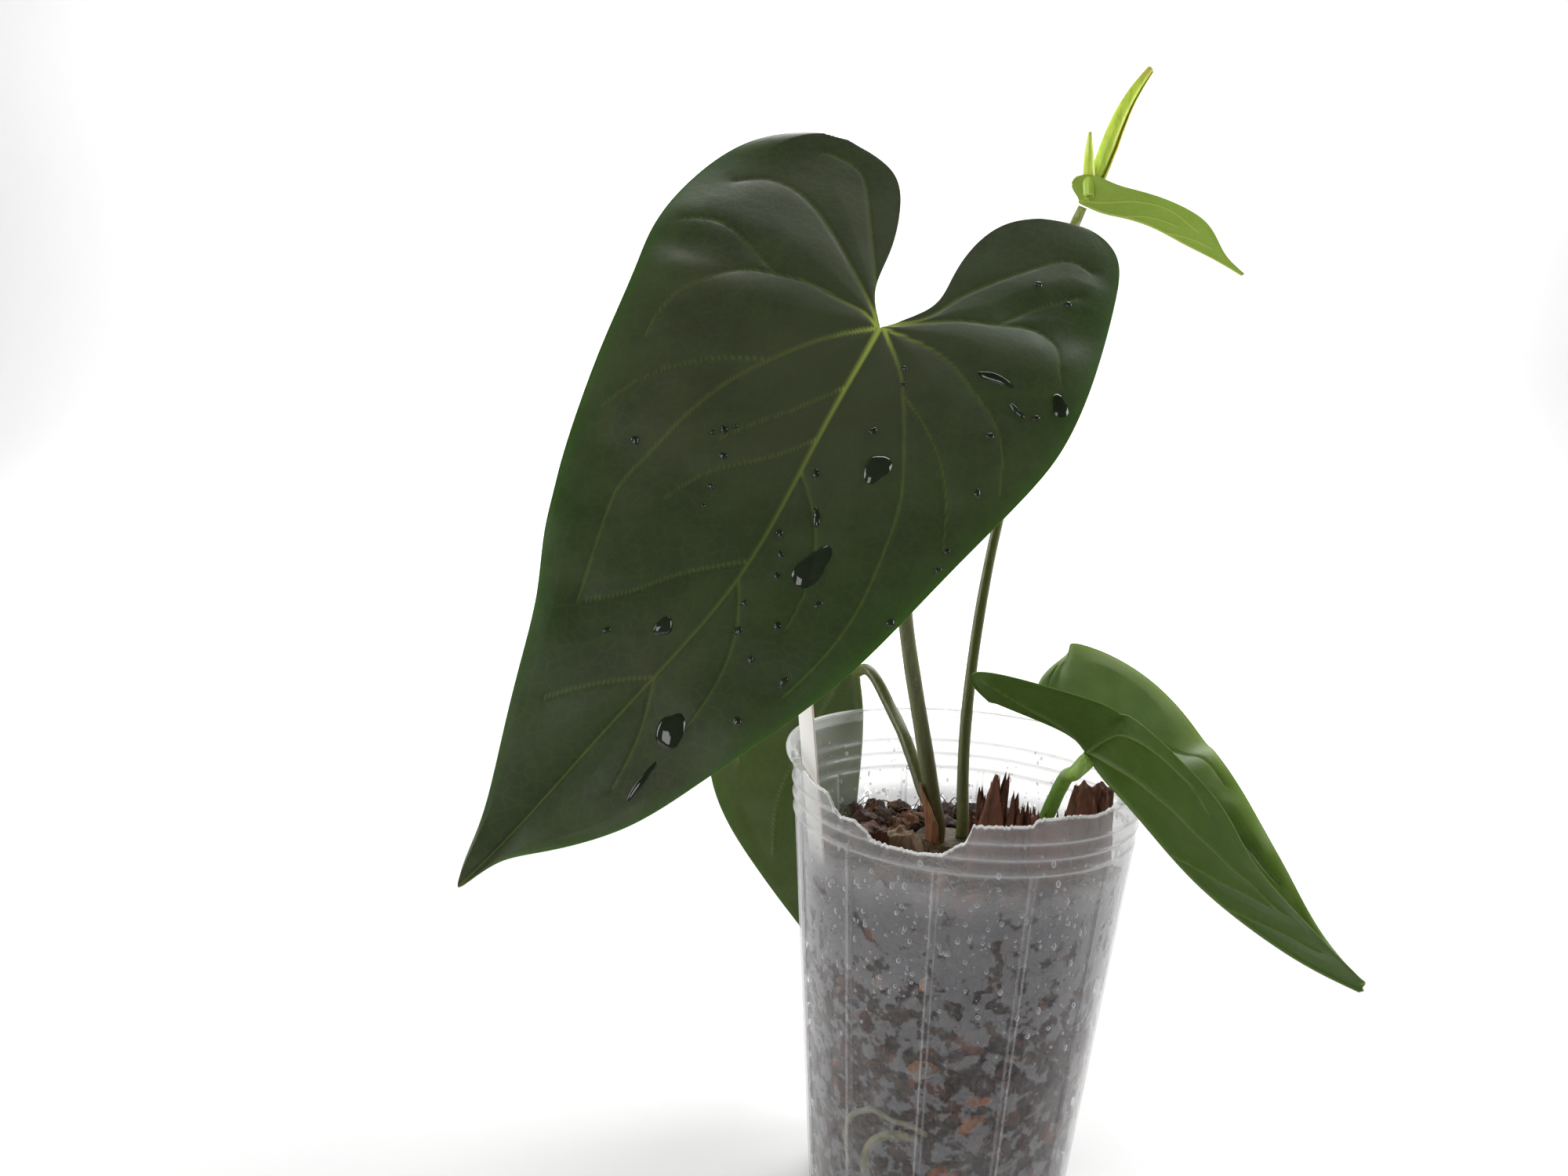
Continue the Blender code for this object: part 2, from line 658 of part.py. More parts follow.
def build_front_leaf(parts):
    anchor = (0.0, -RIM_RADIUS, POT_HEIGHT)
    spine = [(-14, 69.5, 163), (-25, 47, 139), (-35, 24.5, 117), (-46, 6.5, 96), (-55, -7.5, 77.5),
             (-67, -22.5, 55.6), (-81, -33.5, 38), (-97, -42.5, 19.2), (-112, -48.5, 1.2), (-121, -50.5, -8.5)]
    leaf = Leaf(anchor, spine, 2, [(0.857, -0.344, -0.384)] * len(spine),
                [(-70, 4, 4, -3, -3), (0, 8, 8, -4, -4), (80, 8, 8, -4, -4), (140, 12, 12, -4, -4),
                 (175, 20, 20, -1, -1)])
    left = ([(-68, -31), (-60, -16), (-45, -9), (-28, -6.5), (-12, -5.5), (0, 0)],
            [(-68, -31), (-69.5, -42), (-61, -58), (-40, -67.5), (-12, -69), (20, -64), (50, -58), (80, -51.5),
             (100, -44), (114, -34), (128, -25), (148, -13), (160, -6.5), (168, -3), (173, 0)])
    right = ([(-60, 32), (-52, 20), (-36, 13.5), (-22, 12), (-11, 10), (0, 0)],
             [(-60, 32), (-61, 41), (-55, 50), (-37, 54.3), (-5, 55.2), (22, 54.5), (46, 48.5), (70, 40),
              (92, 33.5), (122, 25), (140, 19), (154, 9), (162, 3), (168, 1.2), (173, 0)])
    material = new_material("front_leaf", (0.035, 0.055, 0.018), 0.3)
    add_blade("front_leaf_blade", leaf, (left, right), parts, material)
    stem = new_material("front_petiole", (0.06, 0.075, 0.02), 0.5)
    points = [(-12, 50.5, -1), (-21, 44.5, 37.5), (-28.5, 36.5, 80)]
    path = petiole_path(on_crown(-3.5, -4.5), from_anchor(anchor, points), leaf)
    tube("front_leaf_petiole", path, (1.15 * PETIOLE_RADIUS, PETIOLE_RADIUS, 0.95 * PETIOLE_RADIUS),
         parts, stem)
    return path


def build_right_leaf(parts):
    anchor = RIGHT_LEAF_AT
    spine = [(-35, 21.1, 17.2), (-17.2, 10.3, 13.4), (-7.4, 10, 9.1), (-2.8, 4.8, 4), (0.1, 1.2, 1.2),
             (5.1, -3.3, -3.8), (17, -12.6, -15.7), (30.2, -21, -24.8), (43.8, -26.9, -31.6), (53.3, -30.3, -34.9)]
    across = [(0.15, 0.98, -0.1), (0.25, 0.95, -0.15), (0.38, 0.89, -0.24), (0.38, 0.89, -0.24),
              (0.38, 0.89, -0.2), (0.38, 0.89, -0.1), (0.42, 0.86, 0), (0.45, 0.85, 0), (0.45, 0.85, 0),
              (0.45, 0.85, 0)]
    leaf = Leaf(anchor, spine, 2, across,
                [(-40, 30, 38, 1, 0), (-15, 33, 42, 3, 0), (0, 36, 41, 1.5, 0), (30, 43, 41, 2.5, 0),
                 (60, 50, 42, -1, 0), (92, 58, 46, 0, 0)])
    near = ([(-28, -5), (-20, -4.5), (-10, -3.5), (0, 0)],
            [(-28, -5), (-31, -12), (-28, -19), (-17, -22.6), (0, -24.2), (22, -30.5), (38, -32), (52, -24.5),
             (70, -14), (84, -5), (92, 0)])
    far = ([(-17, 8), (-12, 6), (-6, 3.5), (0, 0)],
           [(-17, 8), (-22, 14), (-23, 23), (-15, 33.5), (3, 37.6), (26, 31.2), (53, 21), (66, 14), (80, 5.6),
            (92, 0)])
    material = new_material("right_leaf", (0.16, 0.24, 0.06), 0.35)
    add_blade("right_leaf_blade", leaf, (near, far), parts, material)
    stem = new_material("right_petiole", (0.10, 0.19, 0.04), 0.5)
    base = (RIGHT_LEAF_AT[0] - 12.6 * MM, RIGHT_LEAF_AT[1] + 37.5 * MM, MIX_LEVEL - 6 * MM)
    points = [(-12.6, 30, -17.5), (-11.5, 23.5, -7.5), (-10.5, 16.5, 0.5)]
    path = petiole_path(base, from_anchor(anchor, points), leaf, seat=1.5, approach=5.0)
    radii = (1.1 * PETIOLE_RADIUS, PETIOLE_RADIUS, 0.95 * PETIOLE_RADIUS)
    tube("right_leaf_petiole", path, radii, parts, stem)
    return path, radii


def build_rear_leaf(parts):
    anchor = (0.0, RIM_RADIUS, POT_HEIGHT)
    spine = [(-34, 10, 20), (-31, 14, 12), (-27, 19, -5), (-26.5, 17.5, -33), (-28.5, 13.5, -63), (-34, 9.5, -97)]
    leaf = Leaf(anchor, spine, 1, [(-0.9, -0.1, 0)] * len(spine),
                [(-40, 75, 5, 4, -4), (0, 82, 5, 4, -4), (60, 82, 8, 0, -4), (112, 75, 10, 0, 0)])
    halves = []
    for side in (1, -1):
        sinus = [(-22, 9), (-15, 5), (-7, 3.5), (0, 0)]
        margin = [(-22, 9), (-24, 20), (-16, 35), (4, 46), (28, 52), (48, 51), (72, 39), (93, 20), (106, 5), (112, 0)]
        halves.append(([(s, side * w) for s, w in sinus], [(s, side * w) for s, w in margin]))
    material = new_material("rear_leaf", (0.09, 0.13, 0.03), 0.45)
    add_blade("rear_leaf_blade", leaf, halves, parts, material)
    stem = new_material("rear_petiole", (0.07, 0.10, 0.03), 0.5)
    points = [(-9.5, -38.5, -18), (-15.6, -24, -4), (-20, -11.5, 3.0), (-25.5, -1.5, 10.5)]
    path = petiole_path(on_crown(-3.5, 5.5), from_anchor(anchor, points), leaf, approach=4.0)
    tube("rear_leaf_petiole", path, (1.0 * PETIOLE_RADIUS, 0.9 * PETIOLE_RADIUS, 0.85 * PETIOLE_RADIUS),
         parts, stem)


def build_young_leaf(parts, cutters):
    """Newest leaf: narrow folded blade whose two lobes are still rolled up like horns."""
    anchor = (0.0, 0.0, POT_HEIGHT)
    spine = [(23.6, 42.4, 163.8), (27.5, 42.1, 162.4), (33.5, 41.2, 159.9), (40.7, 40.7, 158.5), (50.3, 38.9, 155.6),
             (58.8, 37.1, 151.4), (67.3, 35, 147.3), (75.9, 31.9, 142.3)]
    leaf = Leaf(anchor, spine, 1, [(0.1, 0.98, 0.15)] * len(spine),
                [(-10, 55, 60, 20, 20), (0, 58, 60, 25, 25), (25, 60, 60, 25, 25), (56, 55, 55, 10, 10)])
    halves = []
    for side in (1, -1):
        sinus = [(-5, 5), (-3.4, 2.8), (-1.6, 1.4), (0, 0)]
        margin = [(-5, 5), (-4, 7), (2, 9.3), (12, 8.9), (26, 9.1), (37, 8.4), (44, 4.2), (48, 2), (56, 0)]
        halves.append(([(s, side * w) for s, w in sinus], [(s, side * w) for s, w in margin]))
    material = new_material("young_leaf", (0.20, 0.25, 0.04), 0.35)
    blade = add_blade("young_leaf_blade", leaf, halves, parts, material, 15, 4)
    long_lobe = from_anchor(anchor, [(29.5, 41.5, 162.5), (32, 42, 170), (34.8, 43, 179), (37.8, 44, 188),
                                     (41.6, 45, 196), (46.2, 46, 203)])
    short_lobe = from_anchor(anchor, [(29.5, 38.6, 163.5), (29, 39.5, 169), (28.3, 39, 175), (28, 38.5, 182)])
    for name, points, radii in (("long_lobe", long_lobe, (1.8, 2.9, 3.1, 2.7, 2.1, 1.3)),
                                ("short_lobe", short_lobe, (1.8, 2.3, 1.8, 0.6))):
        lobe = tube(name, smooth_path(points, 3 * MM), [r * MM for r in radii], cutters, material)
        boolean(blade, make_cutter(lobe, cutters), "UNION")
    stem = new_material("young_petiole", (0.14, 0.18, 0.05), 0.5)
    points = [(0.3, 5, -8), (1.2, 10, 22.7), (6.2, 18, 61.9), (17.5, 31, 118), (24, 38.5, 150)]
    path = petiole_path(on_crown(4.5, -0.5), from_anchor(anchor, points), leaf, seat=1.5, approach=4.0)
    radius = YOUNG_PETIOLE_RADIUS
    tube("young_leaf_petiole", path, (1.2 * radius, radius, 0.9 * radius), parts, stem)


def build_cataphyll(parts, path):
    """Papery sheath that stands on the crown and hugs the foot of the front leaf's petiole."""
    material = new_material("cataphyll", (0.20, 0.12, 0.06), 0.7)
    radius = 1.15 * PETIOLE_RADIUS + GAP + CATAPHYLL_THICKNESS
    heights = path[:, 2]
    shape = bmesh.new()
    rows = []
    for share in (0.0, 0.3, 0.6, 0.85, 1.0):
        height = heights[0] + share * CATAPHYLL_HEIGHT
        x, y = (np.interp(height, heights[:5], path[:5, axis]) for axis in range(2))
        spread = 75 * (1 - share ** 2) + 8
        row = []
        for step in (-1.0, -0.5, 0.0, 0.5, 1.0):
            turn = math.radians(CATAPHYLL_ANGLE + step * spread)
            row.append(shape.verts.new((x + radius * math.cos(turn), y + radius * math.sin(turn), height)))
        rows.append(row)
    for lower, upper in zip(rows, rows[1:]):
        for i in range(4):
            shape.faces.new((lower[i], lower[i + 1], upper[i + 1], upper[i]))
    item = add_object("cataphyll", mesh_from_bmesh("cataphyll", shape), parts, material)
    thicken(item, CATAPHYLL_THICKNESS)


def main():
    clear_scene()
    parts = new_collection("potted_anthurium")
    cutters = new_collection("cutters")
    build_pot(parts, cutters)
    mix = mix_surface(parts, new_material("growing_mix", (0.045, 0.028, 0.018), 0.95))
    wells = build_crown(parts, cutters)
    wells += build_label(parts, cutters)
    wells += build_roots(parts, cutters)
    wells += build_chips(parts, cutters)
    wells += build_sticks(parts, cutters)
    build_cataphyll(parts, build_front_leaf(parts))
    path, radii = build_right_leaf(parts)
    wells.append(well_along("right_petiole_well", path[:4], [radii[0]] * 2, cutters))
    build_rear_leaf(parts)
    build_young_leaf(parts, cutters)
    for well in wells:
        boolean(mix, well, "DIFFERENCE")


main()
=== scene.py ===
"""Looks of the potted anthurium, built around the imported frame. Metres, +Z up."""

import math
import random

import bmesh
import bpy
import numpy as np
from mathutils import Matrix, Vector, noise
from mathutils.bvhtree import BVHTree


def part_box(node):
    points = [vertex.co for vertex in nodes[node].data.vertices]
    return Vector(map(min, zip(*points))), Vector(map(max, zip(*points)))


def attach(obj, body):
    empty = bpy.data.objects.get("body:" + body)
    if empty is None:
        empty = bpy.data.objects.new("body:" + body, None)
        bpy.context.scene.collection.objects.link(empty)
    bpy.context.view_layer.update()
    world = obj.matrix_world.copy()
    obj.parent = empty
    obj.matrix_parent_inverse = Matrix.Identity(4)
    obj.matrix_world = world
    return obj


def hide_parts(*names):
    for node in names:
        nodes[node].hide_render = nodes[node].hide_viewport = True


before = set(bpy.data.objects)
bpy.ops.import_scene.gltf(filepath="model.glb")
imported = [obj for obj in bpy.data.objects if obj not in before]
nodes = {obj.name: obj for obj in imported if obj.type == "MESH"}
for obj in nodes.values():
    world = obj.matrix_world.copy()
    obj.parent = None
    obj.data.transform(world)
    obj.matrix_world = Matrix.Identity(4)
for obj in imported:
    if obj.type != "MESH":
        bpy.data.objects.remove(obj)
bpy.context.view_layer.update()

MM = 0.001
GAP = 0.3 * MM
BLADE_WELD = 0.02 * MM
LOBE_WELD = 0.004 * MM
POT_WELD = 0.01 * MM

# Sizes of the pot, read from its node
pot_low, pot_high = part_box("pot")
POT_HEIGHT = pot_high[2]
RIM_RADIUS = (pot_high[0] - pot_low[0]) / 2
BASE_RADIUS = RIM_RADIUS - 15 * MM
BASE_ROUND = 1.6 * MM
LIP_OVERHANG = 1.7 * MM
LIP_HEIGHT = 3.6 * MM
POT_WALL = 0.55 * MM        # thinner than the CAD wall, with the same outside
CAD_WALL = 0.8 * MM
RING_DEPTHS = (10.5 * MM, 15.0 * MM, 19.4 * MM)
RING_HEIGHT = 1.6 * MM
RING_RELIEF = 0.5 * MM
RIB_COUNT = 12
RIB_WIDTH = 1.6 * MM
RIB_RELIEF = 0.5 * MM
LIP_WALL_RADIUS = RIM_RADIUS - LIP_OVERHANG
MIX_LEVEL = POT_HEIGHT - 31 * MM
MIX_MOUND = 2.0 * MM
CROWN_AT = (-3.5 * MM, 3.0 * MM)
RIGHT_FOOT = (22.5 * MM, -1.5 * MM)    # where the right-hand petiole leaves the mix
CROWN_TOP = MIX_LEVEL + MIX_MOUND + 1.5 * MM
TEAR = ((-80, -1), (-72, 2.6), (-63, 5.2), (-55, 6.1), (-51, 10), (-49, 11.2), (-43, 10.8),
        (-39, 12.6), (-35, 15.0), (-21, 15.4), (-13, 14.6), (-10, 12.2), (-7, 10.8), (-5, 6.0),
        (12.6, 5.6), (13.6, 3.9), (25, 3.4), (35, 4.2), (41, 3.2), (49, -1))

BEAD_COUNT = 1300
WALL_CHIP_COUNT = 620
SURFACE_CHIP_COUNT = 330
FIBRE_COUNT = 150

BLADE_THICKNESS = 0.55 * MM
PETIOLE_RADIUS = 2.1 * MM
YOUNG_PETIOLE_RADIUS = 1.5 * MM


# ---------------------------------------------------------------- small helpers

def spline(knots, values):
    """Natural cubic spline through the values, as a function of the knots."""
    knots = np.asarray(knots, float)
    values = np.asarray(values, float).reshape(len(knots), -1)
    count = len(knots)
    step = np.diff(knots)
    slope = np.diff(values, axis=0) / step[:, None]
    matrix = np.eye(count)
    bend = np.zeros_like(values)
    for i in range(1, count - 1):
        matrix[i, i - 1:i + 2] = step[i - 1], 2 * (step[i - 1] + step[i]), step[i]
        bend[i] = 6 * (slope[i] - slope[i - 1])
    bend = np.linalg.solve(matrix, bend)

    def evaluate(at):
        at = np.atleast_1d(np.asarray(at, float))
        i = np.clip(np.searchsorted(knots, at, side="right") - 1, 0, count - 2)
        h = step[i][:, None]
        t = (at - knots[i])[:, None]
        linear = slope[i] - h * (2 * bend[i] + bend[i + 1]) / 6
        return values[i] + t * linear + t ** 2 * bend[i] / 2 + t ** 3 * (bend[i + 1] - bend[i]) / (6 * h)

    return evaluate


def chord_length(points):
    return np.concatenate([[0.0], np.cumsum(np.linalg.norm(np.diff(points, axis=0), axis=1))])


def smooth_path(points, step):
    """Points about a step apart along a smooth curve through the given ones."""
    points = np.asarray(points, float)
    knots = chord_length(points)
    fine = spline(knots, points)(np.linspace(0, knots[-1], 900))
    length = chord_length(fine)
    count = max(4, int(round(length[-1] / step)) + 1)
    even = np.linspace(0, length[-1], count)
    return np.stack([np.interp(even, length, fine[:, axis]) for axis in range(points.shape[1])], axis=1)


def smoothstep(low, high, value):
    share = np.clip((value - low) / (high - low), 0, 1)
    return share * share * (3 - 2 * share)


def add_mesh(name, points, faces, replaced=()):
    """New piece of the object from points and faces, smooth shaded and riding on the root."""
    mesh = bpy.data.meshes.new(name)
    mesh.from_pydata([tuple(point) for point in points], [], faces)
    piece = bpy.data.objects.new(name, mesh)
    bpy.context.scene.collection.objects.link(piece)
    mesh.shade_smooth()
    belong(piece, replaced)
    return piece


def weld(piece, distance, outward=False):
    """Joins points that lie together; the faces can be turned outward as well."""
    shape = bmesh.new()
    shape.from_mesh(piece.data)
    bmesh.ops.remove_doubles(shape, verts=shape.verts[:], dist=distance)
    bmesh.ops.dissolve_degenerate(shape, edges=shape.edges[:], dist=distance / 4)
    if outward:
        bmesh.ops.recalc_face_normals(shape, faces=shape.faces[:])
    shape.to_mesh(piece.data)
    shape.free()
    piece.data.shade_smooth()


def belong(piece, replaced=()):
    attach(piece, "root")
    if replaced:
        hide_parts(*replaced)


def give(piece, material):
    piece.data.materials.clear()
    piece.data.materials.append(material)


def set_attribute(mesh, name, values):
    attribute = mesh.attributes.new(name, "FLOAT", "POINT")
    attribute.data.foreach_set("value", np.asarray(values, np.float32))


# ---------------------------------------------------------------- materials

class Nodes:
    """Short way to write a procedural material."""

    def __init__(self, name):
        self.material = bpy.data.materials.new(name)
        self.material.use_nodes = True
        self.tree = self.material.node_tree
        self.shader = self.tree.nodes["Principled BSDF"]

    def node(self, kind, **inputs):
        item = self.tree.nodes.new("ShaderNode" + kind)
        for key, value in inputs.items():
            self.feed(item.inputs[key.replace("_", " ")], value)
        return item

    def feed(self, socket, value):
        if isinstance(value, bpy.types.NodeSocket):
            self.tree.links.new(value, socket)
        else:
            socket.default_value = value

    def set(self, **values):
        for key, value in values.items():
            self.feed(self.shader.inputs[key.replace("_", " ")], value)

    def attribute(self, name):
        item = self.tree.nodes.new("ShaderNodeAttribute")
        item.attribute_name = name
        return item.outputs["Fac"]

    def place(self, stretch=(1, 1, 1)):
        """Object coordinates, stretched."""
        coordinates = self.tree.nodes.new("ShaderNodeTexCoord").outputs["Object"]
        mapping = self.node("Mapping", Vector=coordinates)
        mapping.inputs["Scale"].default_value = stretch
        return mapping.outputs["Vector"]

    def noise(self, scale, detail=4.0, roughness=0.55, place=None, distortion=0.0):
        item = self.node("TexNoise", Scale=scale, Detail=detail, Roughness=roughness, Distortion=distortion)
        self.feed(item.inputs["Vector"], place if place is not None else self.place())
        return item.outputs["Fac"]

    def cells(self, scale, feature="F1", output="Distance"):
        item = self.node("TexVoronoi", Scale=scale)
        item.feature = feature
        self.feed(item.inputs["Vector"], self.place())
        return item.outputs[output]

    def math(self, operation, first, second=0.0):
        item = self.tree.nodes.new("ShaderNodeMath")
        item.operation = operation
        self.feed(item.inputs[0], first)
        self.feed(item.inputs[1], second)
        return item.outputs[0]

    def ramp(self, value, low, high, start=0.0, end=1.0):
        item = self.node("MapRange", Value=value)
        item.interpolation_type = "SMOOTHSTEP"
        for key, number in (("From Min", low), ("From Max", high), ("To Min", start), ("To Max", end)):
            item.inputs[key].default_value = number
        return item.outputs["Result"]

    def mix(self, share, first, second):
        item = self.tree.nodes.new("ShaderNodeMix")
        item.data_type = "RGBA"
        self.feed(item.inputs["Factor"], share)
        for socket, colour in ((item.inputs[6], first), (item.inputs[7], second)):
            self.feed(socket, colour if isinstance(colour, bpy.types.NodeSocket) else (*colour, 1.0))
        return item.outputs[2]

    def facing(self):
        item = self.node("LayerWeight", Blend=0.5)
        return item.outputs["Facing"]

    def bump(self, height, distance, strength=1.0, normal=None):
        item = self.node("Bump", Height=height, Distance=distance, Strength=strength)
        if normal is not None:
            self.feed(item.inputs["Normal"], normal)
        return item.outputs["Normal"]


def srgb(red, green, blue):
    """Linear colour of an 8-bit display colour."""
    values = []
    for value in (red, green, blue):
        share = value / 255
        values.append(share / 12.92 if share <= 0.04045 else ((share + 0.055) / 1.055) ** 2.4)
    return tuple(values)


def leaf_material(name, base, patch, margin, vein, under, under_vein, roughness=0.45, sheen=0.25,
                  vein_relief=0.5,
                  gloss=0.30):
    """Leaf tissue: mottled upper side, paler underside, pale veins and a coloured margin."""
    kit = Nodes(name)
    broad = kit.ramp(kit.noise(16, 3.0, 0.5), 0.35, 0.68)
    fine = kit.noise(140, 5.0, 0.6)
    net = kit.cells(330, feature="DISTANCE_TO_EDGE")
    net_line = kit.ramp(net, 0.0, 0.12, 1.0, 0.0)
    top = kit.mix(broad, base, patch)
    # painted shade: random patches of the upper side darkened by up to about a third towards near black,
    # standing for the shade in the hollows of the quilted blade
    painted_quilt_shade = kit.noise(48, 4.0, 0.6)
    top = kit.mix(kit.ramp(painted_quilt_shade, 0.40, 0.62, 0.0, 0.38), top, kit.mix(0.75, top, (0.006, 0.012, 0.005)))
    top = kit.mix(kit.ramp(fine, 0.3, 0.75, 0.0, 0.35), top, kit.mix(0.5, top, margin))
    top = kit.mix(kit.math("MULTIPLY", net_line, 0.02), top, vein)
    top = kit.mix(kit.math("MULTIPLY", kit.attribute("middle"), 0.75), top, patch)
    top = kit.mix(kit.math("MULTIPLY", kit.attribute("rim"), 0.8), top, margin)
    line = kit.mix(kit.ramp(kit.attribute("near"), 0.0, 1.0), kit.mix(0.12, top, vein), vein)
    top = kit.mix(kit.attribute("vein"), top, line)
    low = kit.mix(kit.ramp(fine, 0.3, 0.8, 0.0, 0.5), under, kit.mix(0.35, under, under_vein))
    low = kit.mix(kit.math("MULTIPLY", net_line, 0.10), low, under_vein)
    low = kit.mix(kit.attribute("vein"), low, under_vein)
    colour = kit.mix(kit.attribute("under"), top, low)
    kit.set(Base_Color=colour)
    wave = kit.noise(420, 4.0, 0.6)
    normal = kit.bump(kit.math("ADD", kit.math("MULTIPLY", net_line, -0.15), wave), 0.10 * MM, vein_relief)
    kit.set(Normal=normal, Roughness=kit.ramp(fine, 0.2, 0.8, roughness - 0.06, roughness + 0.10))
    kit.set(Sheen_Weight=sheen, Sheen_Roughness=0.45, Specular_IOR_Level=gloss)
    kit.shader.inputs["Sheen Tint"].default_value = (*kit_tint(base), 1.0)
    kit.set(Subsurface_Weight=0.12, Subsurface_Scale=0.0012)
    kit.shader.inputs["Subsurface Radius"].default_value = (0.6, 1.0, 0.25)
    return kit.material


def kit_tint(colour):
    """Pale version of a colour, for sheen."""
    peak = max(colour)
    return tuple(0.55 + 0.45 * value / peak for value in colour)


# ---------------------------------------------------------------- leaves

FRAME_EASE = 7.0  # mm of spine over which the blade's frame turns


def eased(rows, reach):
    """Moving average of the rows, keeping their number."""
    padded = np.pad(rows, ((reach, reach), (0, 0)), mode="edge")
    total = np.cumsum(np.vstack([np.zeros(rows.shape[1]), padded]), axis=0)
    width = 2 * reach + 1
    return (total[width:] - total[:-width]) / width


class Leaf:
    """The same blade frame as the CAD model's: places are (s, w) in mm along and across."""

    def __init__(self, anchor, spine, junction, across, fold):
        points = np.asarray(spine, float)
        knots = chord_length(points)
        curve = spline(knots, points)
        at = np.linspace(0, knots[-1], 1200)
        self.line = curve(at) * MM + np.asarray(anchor)
        arc = chord_length(self.line) / MM
        start = np.argmin(np.linalg.norm(curve(at) - points[junction], axis=1))
        self.arc = arc - arc[start]
        along = eased(np.gradient(self.line, axis=0), int(FRAME_EASE / arc[-1] * len(arc)))
        self.along = along / np.linalg.norm(along, axis=1)[:, None]
        side = spline(knots, across)(at)
        side -= (side * self.along).sum(1)[:, None] * self.along
        self.side = side / np.linalg.norm(side, axis=1)[:, None]
        self.up = np.cross(self.along, self.side)
        self.fold = np.asarray(fold, float)

    def frame(self, s):
        rows = (self.line, self.along, self.side, self.up)
        return [np.stack([np.interp(s, self.arc, row[:, k]) for k in range(3)], axis=-1) for row in rows]

    def place(self, s, w):
        s = np.asarray(s, float)
        w = np.asarray(w, float)
        line, along, side, up = self.frame(s)
        stations = self.fold[:, 0]
        shape = spline(stations, self.fold[:, 1:])(np.clip(s, stations[0], stations[-1]).ravel())
        shape = shape.reshape(*s.shape, 4)
        angle = np.radians(np.where(w < 0, shape[..., 0], shape[..., 1]))
        curl = np.where(w < 0, shape[..., 2], shape[..., 3]) / 1000
        curl = np.where(np.abs(curl) < 1e-6, 1e-6, curl)
        reach = np.abs(w)
        out = (np.sin(angle + curl * reach) - np.sin(angle)) / curl
        rise = -(np.cos(angle + curl * reach) - np.cos(angle)) / curl
        return line + (side * (np.sign(w) * out)[..., None] + up * rise[..., None]) * MM

    def normal(self, s, w):
        """Unit normal of the upper side."""
        step = 0.4
        nudge = 1e-9 * self.frame(np.asarray(s, float))[1]  # keeps a direction where the spine has ended
        along = self.place(s + step, w) - self.place(s - step, w) + nudge
        across = self.place(s, w + step) - self.place(s, w - step)
        normal = np.cross(along, across)
        return normal / np.linalg.norm(normal, axis=-1)[..., None]


def outline_curve(points, count):
    """Evenly spread points on a smooth outline through the given (s, w) pairs."""
    points = np.asarray(points, float)
    knots = np.sqrt(np.linalg.norm(np.diff(points, axis=0), axis=1))
    knots = np.concatenate([[0.0], np.cumsum(knots)])
    fine = spline(knots, points)(np.linspace(0, knots[-1], 1200))
    length = chord_length(fine)
    even = np.linspace(0, length[-1], count)
    return np.stack([np.interp(even, length, fine[:, axis]) for axis in range(2)], axis=1)


def half_grid(sinus, margin, rows, columns):
    """Grid of (s, w) over half a blade, from the sinus and midrib out to the margin."""
    outer = outline_curve(margin, rows)
    tip = margin[-1][0]
    back = max(2, int(round(0.3 * rows)))
    inner = outline_curve(sinus, back + 1)
    midrib = np.stack([np.linspace(0, tip, rows - back), np.zeros(rows - back)], axis=1)
    inner = np.concatenate([inner, midrib[1:]])
    share = np.linspace(0, 1, columns)[None, :, None]
    return inner[:, None] * (1 - share) + outer[:, None] * share


def vein_distance(s, w, veins):
    """Distance in mm to the vein whose edge is nearest, and that vein's half width there."""
    flat = np.stack([s.ravel(), w.ravel()], axis=1)
    nearest = np.full(len(flat), 1e9)
    signed = np.full(len(flat), 1e9)
    width = np.zeros(len(flat))
    for points, thick, thin in veins:
        path = smooth_path(points, 1.5)
        length = chord_length(path)
        for i in range(len(path) - 1):
            start = path[i]
            leg = path[i + 1] - start
            box_low = np.minimum(start, path[i + 1]) - 16
            box_high = np.maximum(start, path[i + 1]) + 16
            near = np.flatnonzero(np.all((flat > box_low) & (flat < box_high), axis=1))
            if not len(near):
                continue
            share = np.clip(((flat[near] - start) @ leg) / (leg @ leg), 0, 1)
            away = np.linalg.norm(flat[near] - start - share[:, None] * leg, axis=1)
            half = thick + (thin - thick) * (length[i] / length[-1]) ** 0.7
            better = away - half < signed[near]
            chosen = near[better]
            nearest[chosen] = away[better]
            signed[chosen] = away[better] - half
            width[chosen] = half
    return nearest.reshape(s.shape), width.reshape(s.shape)


